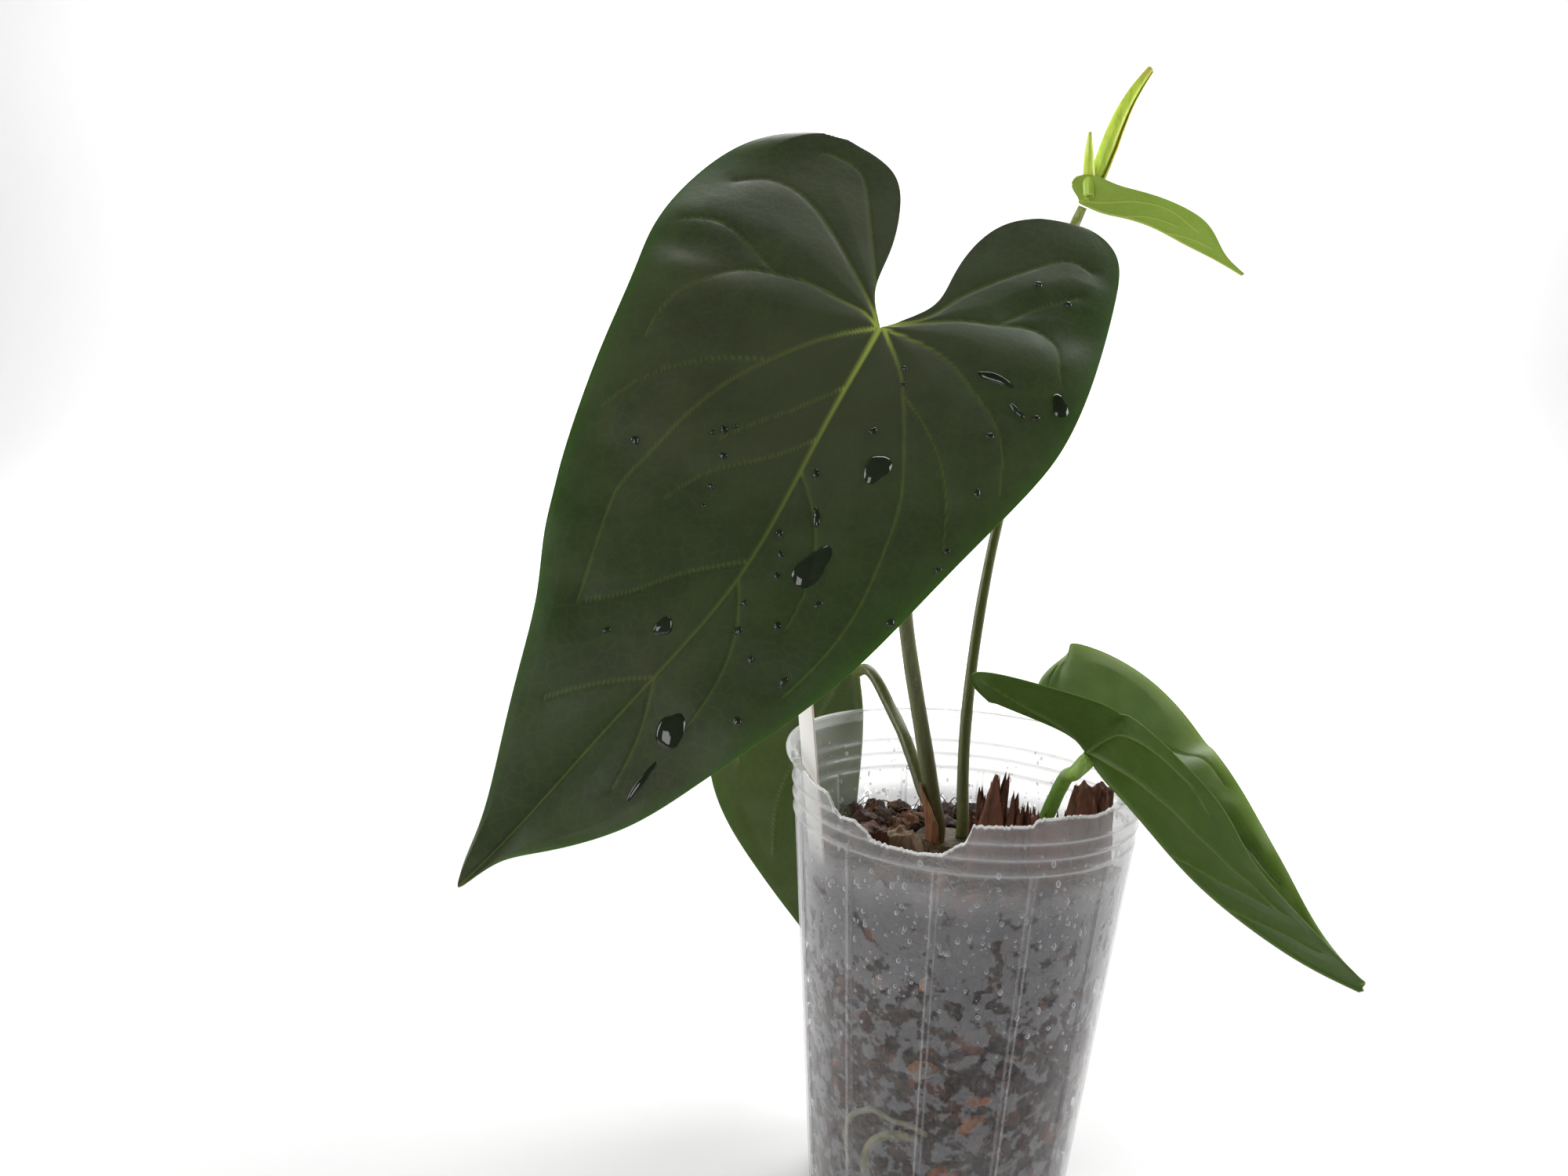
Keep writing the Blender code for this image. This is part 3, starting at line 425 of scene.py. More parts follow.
def build_blade(name, leaf, halves, veins, node, rows, columns, painted_quilt_shade, ripple, material,
                groove=0.35, ridge=0.5):
    """Blade with sunken veins above, raised veins below, tissue arched between them and a thin margin."""
    points = []
    faces = []
    fields = {key: [] for key in ("vein", "near", "under", "rim", "middle")}
    for side, (sinus, margin) in enumerate(halves):
        grid = half_grid(sinus, margin, rows, columns)
        s = grid[..., 0]
        w = grid[..., 1]
        top = leaf.place(s, w)
        normal = leaf.normal(s, w)
        distance, width = vein_distance(s, w, veins)
        across = np.linspace(0, 1, columns)[None, :] * np.ones((rows, 1))
        ends = np.minimum(np.arange(rows), np.arange(rows)[::-1])[:, None] / (0.12 * rows)
        edge = np.minimum(1 - across, np.clip(ends, 0, 1))
        lifted = np.clip(edge * 6, 0, 1)
        arch = painted_quilt_shade * (1 - np.exp(-np.maximum(distance - width, 0) / 5.5)) * lifted
        along = s / max(1.0, margin[-1][0])
        wave = ripple * across ** 2 * np.sin(along * 23 + side * 1.7 + 2.2 * np.sin(along * 5)) * lifted
        wave += 0.35 * ripple * across * np.sin(along * 47 + side * 2.9) * lifted
        sunk = groove * np.exp(-(distance / (0.8 * width + 0.25)) ** 2)
        height = (arch + wave - sunk) * MM
        thin = BLADE_THICKNESS * (0.35 + 0.65 * np.clip(edge * 9, 0, 1)) / 2
        raised = ridge * 2.2 * width * np.exp(-(distance / (1.1 * width + 0.15)) ** 2) * MM
        upper = top + normal * (height + thin)[..., None]
        lower = top + normal * (height - thin - raised)[..., None]
        tone = np.exp(-(distance / (0.75 * width + 0.10)) ** 4)
        centre_line = np.exp(-(w / 1.6) ** 2) * (s > -2)
        size_of = margin[-1][0]
        near = np.exp(-np.hypot(s, w) / (0.055 * size_of))
        near = np.maximum(near, centre_line * np.exp(-np.maximum(s, 0) / (0.24 * size_of)))
        rim = np.clip(1 - (1 - across) * columns / 5, 0, 1) * 0.6 + 0.4 * smoothstep(0.72, 1.0, across)
        centre = np.exp(-((s - 10) / 75) ** 2 - (w / 32) ** 2)
        start = len(points)
        for layer, under in ((upper, 0.0), (lower, 1.0)):
            points.extend(layer.reshape(-1, 3))
            fields["vein"].append(tone.ravel())
            fields["near"].append(near.ravel())
            fields["under"].append(np.full(rows * columns, under))
            fields["rim"].append(rim.ravel())
            fields["middle"].append(centre.ravel())
        size = rows * columns
        flip = np.sign(margin[len(margin) // 2][1]) < 0
        index = np.arange(size).reshape(rows, columns) + start
        quads = np.stack([index[:-1, :-1], index[1:, :-1], index[1:, 1:], index[:-1, 1:]],
                         axis=-1).reshape(-1, 4)
        if flip:
            quads = quads[:, ::-1]
        faces.extend(quads.tolist())
        faces.extend((quads[:, ::-1] + size).tolist())
        back = max(2, int(round(0.3 * rows)))
        rims = [index[:, -1], index[:back + 1, 0]]
        for which, border in enumerate(rims):
            strip = np.stack([border[:-1], border[1:], border[1:] + size, border[:-1] + size], axis=1)
            if flip == (which == 0):
                strip = strip[:, ::-1]
            faces.extend(strip[:, ::-1].tolist())
    piece = add_mesh(name, points, faces, (node,))
    for key, values in fields.items():
        set_attribute(piece.data, key, np.concatenate(values))
    weld(piece, BLADE_WELD)
    give(piece, material)
    return piece


def from_anchor(anchor, points):
    return [tuple(np.asarray(anchor) + np.asarray(point) * MM) for point in points]


def on_rim(x, y):
    length = math.hypot(x, y)
    return (RIM_RADIUS * x / length, RIM_RADIUS * y / length, POT_HEIGHT)


def on_crown(x, y):
    return (CROWN_AT[0] + x * MM, CROWN_AT[1] + y * MM, CROWN_TOP + GAP)


def petiole_path(base, points, leaf, seat, approach, keel_angle):
    """Route from the base through the points to just under the blade's midrib."""
    line, along, side, up = leaf.frame(seat)
    end = line - up * (0.4 * MM / math.cos(math.radians(keel_angle)) + GAP)
    upright = np.asarray(base) + (0.0, 0.0, 4 * MM)
    route = smooth_path([upright, *points, end - up * approach * MM], 7 * MM)
    route = np.concatenate([[base], route, [end]])
    return smooth_path(route, 1.2 * MM)


def frames_along(path):
    """Two unit vectors square to the path at each point, turning as little as possible."""
    along = np.gradient(path, axis=0)
    along /= np.linalg.norm(along, axis=1)[:, None]
    first = np.cross(along[0], (0.31, 0.87, 0.39))
    first /= np.linalg.norm(first)
    firsts = []
    for direction in along:
        first = first - direction * (first @ direction)
        first = first / np.linalg.norm(first)
        firsts.append(first)
    firsts = np.array(firsts)
    return firsts, np.cross(along, firsts)


def build_stem(name, path, radii, node, material, sides=28, flutes=0.03, swell=0.0):
    """Stem along a path, with shallow flutes and a swollen joint under the blade."""
    first, second = frames_along(path)
    share = chord_length(path) / chord_length(path)[-1]
    radius = np.interp(share, np.linspace(0, 1, len(radii)), radii)
    radius = radius * (1 + swell * np.exp(-((share - 0.965) / 0.03) ** 2))
    turn = np.linspace(0, 2 * np.pi, sides, endpoint=False)
    uneven = 1 + flutes * np.sin(5 * turn[None, :] + 3 * share[:, None])
    uneven = uneven + 0.5 * flutes * np.sin(40 * share[:, None] + 2 * turn[None, :])
    ring = np.cos(turn)[None, :, None] * first[:, None] + np.sin(turn)[None, :, None] * second[:, None]
    points = path[:, None] + ring * (radius[:, None] * uneven)[..., None]
    count = len(path)
    index = np.arange(count * sides).reshape(count, sides)
    after = np.roll(index, -1, axis=1)
    faces = np.stack([index[:-1], after[:-1], after[1:], index[1:]], axis=-1).reshape(-1, 4).tolist()
    flat = list(points.reshape(-1, 3))
    for row, turned_in in ((0, True), (count - 1, False)):
        middle = len(flat)
        flat.append(path[row])
        for i in range(sides):
            a, b = int(index[row, i]), int(index[row, (i + 1) % sides])
            faces.append((b, a, middle) if turned_in else (a, b, middle))
    replaced = (node,) if node else ()
    piece = add_mesh(name, flat, faces, replaced)
    set_attribute(piece.data, "share", np.concatenate([np.repeat(share, sides), [0.0, 1.0]]))
    give(piece, material)


def stem_material(name, foot, middle, top, speckle, roughness=0.42):
    """Stem skin, coloured along its length, with fine streaks and specks."""
    kit = Nodes(name)
    share = kit.attribute("share")
    streak = kit.noise(900, 3.0, 0.6, kit.place((1, 1, 0.06)))
    colour = kit.mix(kit.ramp(share, 0.0, 0.22), foot, middle)
    colour = kit.mix(kit.ramp(share, 0.72, 1.0), colour, top)
    colour = kit.mix(kit.ramp(streak, 0.42, 0.66, 0.0, 0.55), colour, speckle)
    specks = kit.ramp(kit.noise(1500, 2.0, 0.5), 0.62, 0.72, 0.0, 0.6)
    colour = kit.mix(specks, colour, kit.mix(0.5, colour, (0.30, 0.30, 0.16)))
    kit.set(Base_Color=colour, Roughness=roughness, Specular_IOR_Level=0.5)
    kit.set(Normal=kit.bump(streak, 0.12 * MM, 0.6))
    kit.set(Subsurface_Weight=0.15, Subsurface_Scale=0.0015)
    return kit.material


# ---------------------------------------------------------------- water drops

def build_drops(name, blade, leaf, drops, material):
    """Beads of water on a blade: each is (s, w, length, width, turn in degrees, height) in mm."""
    surface = bvh_of(blade)
    points = []
    faces = []
    rings = 6
    around = 22
    for number, (s, w, length, width, turn, height) in enumerate(drops):
        angle = np.linspace(0, 2 * np.pi, around, endpoint=False)
        uneven = 1 + 0.16 * np.sin(2 * angle + number) + 0.10 * np.sin(3 * angle + 2.1 * number)
        middle = len(points)
        radius = np.linspace(0, 1, rings + 1)[1:]
        turned = math.radians(turn)
        spots = [(s, w, height)]
        for share in radius:
            rise = height * math.sqrt(max(0.0, 1 - share ** 2)) - 0.04
            along = share * length / 2 * uneven * np.cos(angle)
            across = share * width / 2 * uneven * np.sin(angle)
            ds = along * math.cos(turned) - across * math.sin(turned)
            dw = along * math.sin(turned) + across * math.cos(turned)
            spots.extend((s + a, w + b, rise) for a, b in zip(ds, dw))
        spots = np.array(spots)
        base = leaf.place(spots[:, 0], spots[:, 1])
        normal = leaf.normal(spots[:, 0], spots[:, 1])
        for place, up, rise in zip(base, normal, spots[:, 2]):
            hit = surface.ray_cast(Vector(place + up * 6 * MM), Vector(-up), 12 * MM)[0]
            ground = np.array(hit) if hit is not None else place
            points.append(ground + up * rise * MM)
        for i in range(around):
            j = (i + 1) % around
            faces.append((middle, middle + 1 + i, middle + 1 + j))
            for ring in range(rings - 1):
                a = middle + 1 + ring * around
                b = a + around
                faces.append((a + i, b + i, b + j, a + j))
    piece = add_mesh(name, points, faces)
    give(piece, material)


def bvh_of(piece):
    mesh = piece.data
    return BVHTree.FromPolygons([v.co for v in mesh.vertices], [tuple(p.vertices) for p in mesh.polygons])


def water_material():
    kit = Nodes("water")
    colour = kit.mix(kit.noise(120, 2.0, 0.5), (0.008, 0.012, 0.006), (0.035, 0.044, 0.026))
    kit.set(Base_Color=colour, Roughness=0.04, IOR=1.33, Specular_IOR_Level=0.9)
    return kit.material


# ---------------------------------------------------------------- pot

def wall_radius(height):
    return BASE_RADIUS + (LIP_WALL_RADIUS - BASE_RADIUS) * height / POT_HEIGHT


def tear_height(degrees):
    """Height of the torn edge at each angle from the front; above the rim where it isn't torn."""
    table = np.array(TEAR, float)
    depth = np.interp(degrees, table[:, 0], table[:, 1], left=-1, right=-1)
    fray = [noise.noise(Vector((angle * 0.9, 3.0, 0.0))) + 0.6 * noise.noise(Vector((angle * 2.6, 9.0, 0.0)))
            for angle in degrees]
    depth = depth + np.where(depth > 0.5, np.array(fray) * 0.55, 0)
    return POT_HEIGHT - depth * MM


def pot_outline():
    """Outer profile from the middle of the base up to the top of the lip, as (radius, height)."""
    flat = wall_radius(0) - BASE_ROUND
    profile = [(0.0, 0.0), (0.35 * BASE_RADIUS, 0.0), (0.7 * BASE_RADIUS, 0.0), (flat, 0.0)]
    for angle in (60, 30, 0):
        turn = math.radians(angle)
        profile.append((flat + BASE_ROUND * math.cos(turn), BASE_ROUND * (1 - math.sin(turn))))
    low = POT_HEIGHT - RING_DEPTHS[-1] - RING_HEIGHT
    profile += [(wall_radius(height), height) for height in np.linspace(3 * MM, low, 26)]
    for height in np.arange(low + 0.2 * MM, POT_HEIGHT - LIP_HEIGHT, 0.28 * MM):
        relief = 0.0
        for depth in RING_DEPTHS:
            near = abs(height - (POT_HEIGHT - depth)) / (RING_HEIGHT / 2)
            relief += RING_RELIEF * math.cos(min(near, 1.0) * math.pi / 2) ** 2
        profile.append((wall_radius(height) + relief, height))
    half = LIP_HEIGHT / 2
    for angle in range(-70, 131, 20):
        turn = math.radians(angle)
        centre = RIM_RADIUS - half * 0.6
        profile.append((centre + half * 0.6 * math.cos(turn), POT_HEIGHT - half + half * math.sin(turn)))
    return np.array(profile)


def build_pot():
    """Thin wall turned from the outline, with ribs and rings, cut down along the tear."""
    outline = pot_outline()
    turned = 900
    degrees = np.linspace(-180, 180, turned, endpoint=False)
    top = tear_height(degrees)
    radius = np.repeat(outline[None, :, 0], turned, axis=0)
    height = np.repeat(outline[None, :, 1], turned, axis=0)
    pitch = 360 / RIB_COUNT
    from_rib = (np.abs((degrees + pitch) % pitch - pitch / 2))[:, None] * math.pi / 180 * radius
    below_rings = 1 - smoothstep(-1.0 * MM, 0.0, height - POT_HEIGHT + RING_DEPTHS[-1])
    on_wall = smoothstep(5 * MM, 8 * MM, height) * below_rings
    radius = radius + RIB_RELIEF * np.exp(-(from_rib / (RIB_WIDTH / 2)) ** 4) * on_wall
    inner = radius - POT_WALL
    inner_height = np.maximum(height, POT_WALL)
    inner[:, outline[:, 0] < 0.5 * BASE_RADIUS] = radius[:, outline[:, 0] < 0.5 * BASE_RADIUS]
    lip_inside = LIP_WALL_RADIUS - CAD_WALL + 0.1 * MM
    inner = np.where(height > POT_HEIGHT - LIP_HEIGHT, np.minimum(inner, lip_inside), inner)
    limit = top[:, None]
    cut = height > limit
    wavy = np.array([0.35 * noise.noise(Vector((angle * 0.35, 0.0, 5.0))) for angle in degrees])[:, None] * MM
    bent = smoothstep(6 * MM, 0.0, limit - np.minimum(height, limit)) * (limit < POT_HEIGHT)
    radius = np.where(cut, wall_radius(np.minimum(height, limit)), radius) + wavy * bent
    inner = np.where(cut, wall_radius(np.minimum(height, limit)) - POT_WALL, inner) + wavy * bent
    outer_z = np.minimum(height, limit)
    inner_z = np.minimum(inner_height, limit)
    turn = np.radians(degrees - 90)
    profile_radius = np.concatenate([radius, inner[:, ::-1]], axis=1)
    profile_z = np.concatenate([outer_z, inner_z[:, ::-1]], axis=1)
    points = np.stack([profile_radius * np.cos(turn)[:, None], profile_radius * np.sin(turn)[:, None],
                       profile_z], -1)
    rows, columns = profile_z.shape
    index = np.arange(rows * columns).reshape(rows, columns)
    after = np.roll(index, -1, axis=0)
    faces = np.stack([index[:, :-1], after[:, :-1], after[:, 1:], index[:, 1:]], -1).reshape(-1, 4).tolist()
    piece = add_mesh("clear_pot", points.reshape(-1, 3), faces, ("pot",))
    torn = (limit < POT_HEIGHT - 1.0 * MM) * smoothstep(1.1 * MM, 0.25 * MM, limit - profile_z)
    lip_foot = POT_HEIGHT - LIP_HEIGHT
    lip = smoothstep(lip_foot - 0.4 * MM, lip_foot + 0.4 * MM, profile_z) * (1 - torn)
    mark = np.zeros_like(profile_z)
    for depth in RING_DEPTHS:
        mark += np.exp(-((profile_z - POT_HEIGHT + depth) / (0.5 * RING_HEIGHT)) ** 2)
    edge = np.abs(from_rib / (RIB_WIDTH / 2) - 1)
    rib = np.exp(-(edge / 0.35) ** 2) * on_wall
    mark += 0.7 * np.concatenate([rib, rib[:, ::-1]], axis=1)
    inside = np.zeros_like(profile_z)
    inside[:, outline.shape[0]:] = 1
    set_attribute(piece.data, "inside", inside.ravel())
    set_attribute(piece.data, "torn", torn.ravel())
    set_attribute(piece.data, "lip", lip.ravel())
    set_attribute(piece.data, "mark", np.clip(mark, 0, 1).ravel())
    set_attribute(piece.data, "rise", (profile_z / POT_HEIGHT).ravel())
    weld(piece, POT_WELD)
    give(piece, pot_material())


def build_beads():
    """Condensation on the inside of the wall, thickest above the mix."""
    rng = random.Random(5)
    shape = bmesh.new()
    bmesh.ops.create_icosphere(shape, subdivisions=1, radius=1.0)
    base = np.array([vert.co for vert in shape.verts])
    shell = [tuple(vert.index for vert in face.verts) for face in shape.faces]
    shape.free()
    points = []
    faces = []
    for _ in range(BEAD_COUNT):
        degrees = rng.uniform(-180, 180)
        height = rng.triangular(60 * MM, POT_HEIGHT - 6 * MM, 104 * MM)
        if height > tear_height(np.array([degrees]))[0] - 2 * MM:
            continue
        size = rng.choice((0.18, 0.22, 0.28, 0.36, 0.5, 0.75)) * MM
        centre = wall_spot(degrees, height, POT_WALL)
        outward = np.array((centre[0], centre[1], 0.0)) / math.hypot(centre[0], centre[1])
        sideways = np.array((-outward[1], outward[0], 0.0))
        drop = base * (size * rng.uniform(0.8, 1.2), size * rng.uniform(0.9, 1.7), 0.35 * size)
        spread = drop[:, :1] * sideways + drop[:, 1:2] * np.array((0, 0, 1.0)) + drop[:, 2:] * outward
        start = len(points)
        points.extend(centre + spread)
        faces.extend(tuple(start + i for i in face) for face in shell)
    piece = add_mesh("condensation", points, faces)
    kit = Nodes("condensation")
    kit.set(Base_Color=(0.62, 0.63, 0.65, 1.0), Roughness=0.05, IOR=1.33)
    kit.set(Alpha=kit.ramp(kit.facing(), 0.1, 0.8, 0.16, 0.75))
    give(piece, kit.material)


def pot_material():
    """Thin clear polypropylene: faintly cloudy, misted above the mix, scuffed, whitened where torn."""
    kit = Nodes("clear_plastic")
    rise = kit.attribute("rise")
    cloud = kit.ramp(kit.noise(45, 4.0, 0.6), 0.35, 0.7, 0.0, 1.0)
    streak = kit.noise(260, 3.0, 0.6, kit.place((1, 1, 0.12)))
    misted = kit.ramp(rise, (MIX_LEVEL - 6 * MM) / POT_HEIGHT, (MIX_LEVEL + 4 * MM) / POT_HEIGHT)
    lift = kit.ramp(rise, 0.42, 0.78, -0.01, 0.095)
    dry = kit.ramp(kit.math("ADD", kit.noise(210, 7.0, 0.66), lift), 0.505, 0.54, 0.0, 1.0)
    packed = kit.ramp(rise, (MIX_LEVEL + 1 * MM) / POT_HEIGHT, (MIX_LEVEL + 9 * MM) / POT_HEIGHT, 1.0, 0.0)
    film = kit.math("MULTIPLY", kit.math("MULTIPLY", dry, packed), kit.attribute("inside"))
    haze = kit.math("ADD", kit.math("MULTIPLY", cloud, 0.04), 0.03)
    haze = kit.math("ADD", haze, kit.math("MULTIPLY", misted, 0.09))
    haze = kit.math("ADD", haze, kit.math("MULTIPLY", film, 0.42))
    haze = kit.math("ADD", haze, kit.math("MULTIPLY", kit.attribute("mark"), 0.20))
    haze = kit.math("ADD", haze, kit.math("MULTIPLY", kit.attribute("lip"), 0.16))
    haze = kit.math("ADD", haze, kit.math("MULTIPLY", kit.attribute("torn"), 0.55))
    grazing = kit.math("POWER", kit.facing(), 3.0)
    alpha = kit.math("ADD", haze, kit.math("MULTIPLY", grazing, 0.55))
    alpha = kit.math("MINIMUM", alpha, 1.0)
    colour = kit.mix(film, (0.66, 0.65, 0.66), (0.27, 0.275, 0.29))
    # painted shade: the wall's colour is turned grey where it is seen at grazing angles, standing for its
    # darker edges
    colour = kit.mix(grazing, colour, (0.50, 0.50, 0.50))
    colour = kit.mix(kit.attribute("torn"), colour, (0.88, 0.88, 0.86))
    colour = kit.mix(kit.attribute("lip"), colour, (0.82, 0.82, 0.81))
    kit.set(Base_Color=colour, Alpha=alpha, IOR=1.49)
    kit.set(Roughness=kit.ramp(streak, 0.3, 0.7, 0.10, 0.26))
    ripples = kit.bump(kit.noise(70, 2.0, 0.5), 0.5 * MM, 0.35)
    kit.set(Normal=kit.bump(streak, 0.05 * MM, 0.4, ripples))
    return kit.material


# ---------------------------------------------------------------- growing mix

def mix_height(x, y):
    share = min(1.0, math.hypot(x, y) / (LIP_WALL_RADIUS - 6 * MM))
    swell = math.sin(x / (9 * MM) + 0.6) * math.cos(y / (8 * MM) - 0.4)
    return MIX_LEVEL + MIX_MOUND * (1 - share ** 2) + 0.7 * MM * swell


def wall_spot(degrees, height, clearance):
    """Point inside the wall at an angle from the front."""
    turn = math.radians(degrees - 90)
    radius = wall_radius(height) - clearance
    return np.array((radius * math.cos(turn), radius * math.sin(turn), height))


UPPER_ROOT = ((-47, 22), (-49, 30), (-47, 37), (-41, 41), (-34, 43), (-27, 42), (-20, 42), (-12, 40))
LOWER_ROOT = ((-38, 19), (-39, 27), (-35, 33), (-29, 36.5), (-22, 38), (-15, 37.5))


def root_path(route, radius):
    clearance = CAD_WALL + GAP * 1.3 + radius
    return smooth_path([wall_spot(angle, height * MM, clearance) for angle, height in route], 1.0 * MM)


def build_mix_core():
    """Dark body of fine damp mix that the chips are pressed into."""
    around = 120
    rings = []
    for height in np.linspace(1.4 * MM, MIX_LEVEL - 2 * MM, 34):
        rings.append((wall_radius(height) - 2.6 * MM, height))
    for share in np.linspace(1.0, 0.06, 14):
        rings.append(((wall_radius(MIX_LEVEL) - 2.6 * MM) * share, None))
    points = []
    for radius, height in rings:
        for i in range(around):
            turn = 2 * math.pi * i / around
            x, y = radius * math.cos(turn), radius * math.sin(turn)
            z = mix_height(x, y) - 1.6 * MM if height is None else height
            lump = noise.noise(Vector((x, y, z)) * 260) * 0.9 * MM
            if height is None:
                points.append((x, y, z + lump))
            else:
                points.append((x * (1 + lump / radius), y * (1 + lump / radius), z))
    index = np.arange(len(rings) * around).reshape(len(rings), around)
    after = np.roll(index, -1, axis=1)
    faces = np.stack([index[:-1], after[:-1], after[1:], index[1:]], -1).reshape(-1, 4).tolist()
    faces.append(tuple(int(i) for i in index[0][::-1]))
    faces.append(tuple(int(i) for i in index[-1]))
    piece = add_mesh("mix_core", points, faces, ("growing_mix",))
    kit = Nodes("mix_fines")
    grains = kit.cells(700, output="Color")
    tone = kit.node("SeparateColor", Color=grains).outputs[0]
    colour = kit.mix(kit.ramp(tone, 0.2, 0.95), (0.012, 0.008, 0.006), (0.060, 0.034, 0.020))
    pale = kit.ramp(kit.noise(380, 3.0, 0.6), 0.66, 0.74, 0.0, 0.7)
    colour = kit.mix(pale, colour, (0.19, 0.11, 0.06))
    kit.set(Base_Color=colour, Roughness=0.8, Normal=kit.bump(kit.cells(520), 0.8 * MM, 0.9))
    give(piece, kit.material)


def chip_points(rng, base, size, blocky):
    """Rough block of husk: a rounded box, pitted and torn along its grain."""
    shaped = np.sign(base) * np.abs(base) ** blocky
    seed = Vector((rng.uniform(0, 90), rng.uniform(0, 90), rng.uniform(0, 90)))
    rough = np.array([noise.noise(Vector(p) * 1.7 + seed) + 0.6 * noise.noise(Vector(p) * 4.2 + seed)
                      for p in shaped])
    return shaped * (1 + 0.42 * rough)[:, None] * np.asarray(size) / 2


def random_turn(rng, flat=0.0):
    tilt = (1 - flat) * math.pi
    turn = Matrix.Rotation(rng.uniform(0, 2 * math.pi), 3, "Z")
    turn = turn @ Matrix.Rotation(rng.uniform(-tilt, tilt), 3, "X")
    return np.array(turn @ Matrix.Rotation(rng.uniform(-tilt, tilt) * 0.6, 3, "Y"))


# Chips that show through the wall: angle, height and size in mm, tone from 0 dark to 1 pale
SHOWN_CHIPS = ((-15.6, 59.5, 8, 0.86), (-28, 47.3, 10, 0.92), (6, 44.6, 9, 0.84), (7, 52.5, 6, 0.78),
               (-33, 82, 6, 0.9), (-16, 85, 6, 0.9), (27, 42.7, 11, 0.15), (26.4, 61, 12, 0.12),
               (-62, 22, 12, 0.10), (1, 69.4, 10, 0.45), (45, 80, 9, 0.30), (-50, 96, 9, 0.22),
               (-3, 27, 10, 0.80), (38, 25, 10, 0.55), (-22, 18, 9, 0.7), (60, 50, 8, 0.85))


def build_mix_chips():
    """Husk chips pressed against the wall and lying on the mix, clear of the roots."""
    rng = random.Random(7)
    sphere = bmesh.new()
    bmesh.ops.create_icosphere(sphere, subdivisions=3, radius=1.0)
    base = np.array([vert.co for vert in sphere.verts])
    shell = [tuple(vert.index for vert in face.verts) for face in sphere.faces]
    sphere.free()
    avoid = np.concatenate([root_path(UPPER_ROOT, 0.9 * MM), root_path(LOWER_ROOT, 1.4 * MM)])
    low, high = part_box("plant_label")
    label = (np.array(low) + np.array(high))[:2] / 2
    plan = []
    for angle, height, size, tone in SHOWN_CHIPS:
        plan.append((wall_spot(angle, height * MM, (0.8 + 0.32 * size) * MM), size * MM, tone, 0.35))
    for _ in range(WALL_CHIP_COUNT):
        height = rng.uniform(4 * MM, MIX_LEVEL - 1 * MM)
        size = rng.choice((3.2, 4, 5, 6.5, 8.5)) * MM
        tone = rng.choice((0.05, 0.08, 0.12, 0.16, 0.20, 0.26, 0.34, 0.50)) + rng.uniform(-0.03, 0.03)
        plan.append((wall_spot(rng.uniform(-180, 180), height, 0.8 * MM + 0.36 * size), size, tone, 0.0))
    for _ in range(SURFACE_CHIP_COUNT):
        radius = math.sqrt(rng.random()) * (wall_radius(MIX_LEVEL) - 4 * MM)
        turn = rng.uniform(0, 2 * math.pi)
        x, y = radius * math.cos(turn), radius * math.sin(turn)
        by_crown = math.hypot(x - CROWN_AT[0], y - CROWN_AT[1]) < 13 * MM
        by_label = math.hypot(x - label[0], y - label[1]) < 9 * MM
        by_petiole = math.hypot(x - RIGHT_FOOT[0], y - RIGHT_FOOT[1]) < 5 * MM
        if by_crown or by_label or by_petiole:
            continue
        size = rng.choice((3, 4.5, 6, 8)) * MM
        spot = np.array((x, y, mix_height(x, y) - 0.5 * MM))
        plan.append((spot, size, 0.12 + 0.55 * rng.random() ** 1.6, 0.7))
    points = []
    faces = []
    tones = []
    for centre, size, tone, flat in plan:
        if np.min(np.linalg.norm(avoid - centre, axis=1)) < 2.6 * MM + 0.45 * size:
            continue
        shape = (size * rng.uniform(0.9, 1.4), size * rng.uniform(0.5, 0.9), size * rng.uniform(0.35, 0.7))
        chip = chip_points(rng, base, shape, rng.uniform(0.55, 0.8)) @ random_turn(rng, flat).T + centre
        reach = np.hypot(chip[:, 0], chip[:, 1])
        limit = BASE_RADIUS + (LIP_WALL_RADIUS - BASE_RADIUS) * chip[:, 2] / POT_HEIGHT - CAD_WALL - 0.15 * MM
        squeeze = np.minimum(1.0, limit / np.maximum(reach, 1e-6))
        chip[:, :2] *= squeeze[:, None]
        chip[:, 2] = np.maximum(chip[:, 2], 1.2 * MM)
        start = len(points)
        points.extend(chip)
        faces.extend(tuple(start + i for i in face) for face in shell)
        tones.extend([tone] * len(base))
    piece = add_mesh("mix_chips", points, faces, ("growing_mix",))
    set_attribute(piece.data, "tone", tones)
    give(piece, husk_material("mix_chips", None))


def husk_material(name, tone):
    """Coconut husk and bark: fibrous, blotched, damp; the tone runs from dark bark to pale pith."""
    kit = Nodes(name)
    if tone is None:
        tone = kit.attribute("tone")
    grain = kit.noise(520, 5.0, 0.7, kit.place((1, 0.35, 0.35)), 0.8)
    spots = kit.noise(900, 3.0, 0.6)
    dark = kit.mix(kit.ramp(tone, 0.0, 0.35), (0.012, 0.006, 0.005), (0.080, 0.026, 0.013))
    warm = kit.mix(kit.ramp(tone, 0.35, 0.8), dark, (0.26, 0.088, 0.032))
    pale = kit.mix(kit.ramp(tone, 0.78, 1.0), warm, (0.42, 0.30, 0.19))
    colour = kit.mix(kit.ramp(grain, 0.35, 0.7, 0.0, 0.75), pale, kit.mix(0.72, pale, (0.008, 0.005, 0.004)))
    colour = kit.mix(kit.ramp(spots, 0.60, 0.72, 0.0, 0.35), colour, (0.26, 0.15, 0.08))
    kit.set(Base_Color=colour, Roughness=kit.ramp(spots, 0.3, 0.7, 0.48, 0.85))
    kit.set(Normal=kit.bump(grain, 0.5 * MM, 0.9), Specular_IOR_Level=0.4)
    return kit.material


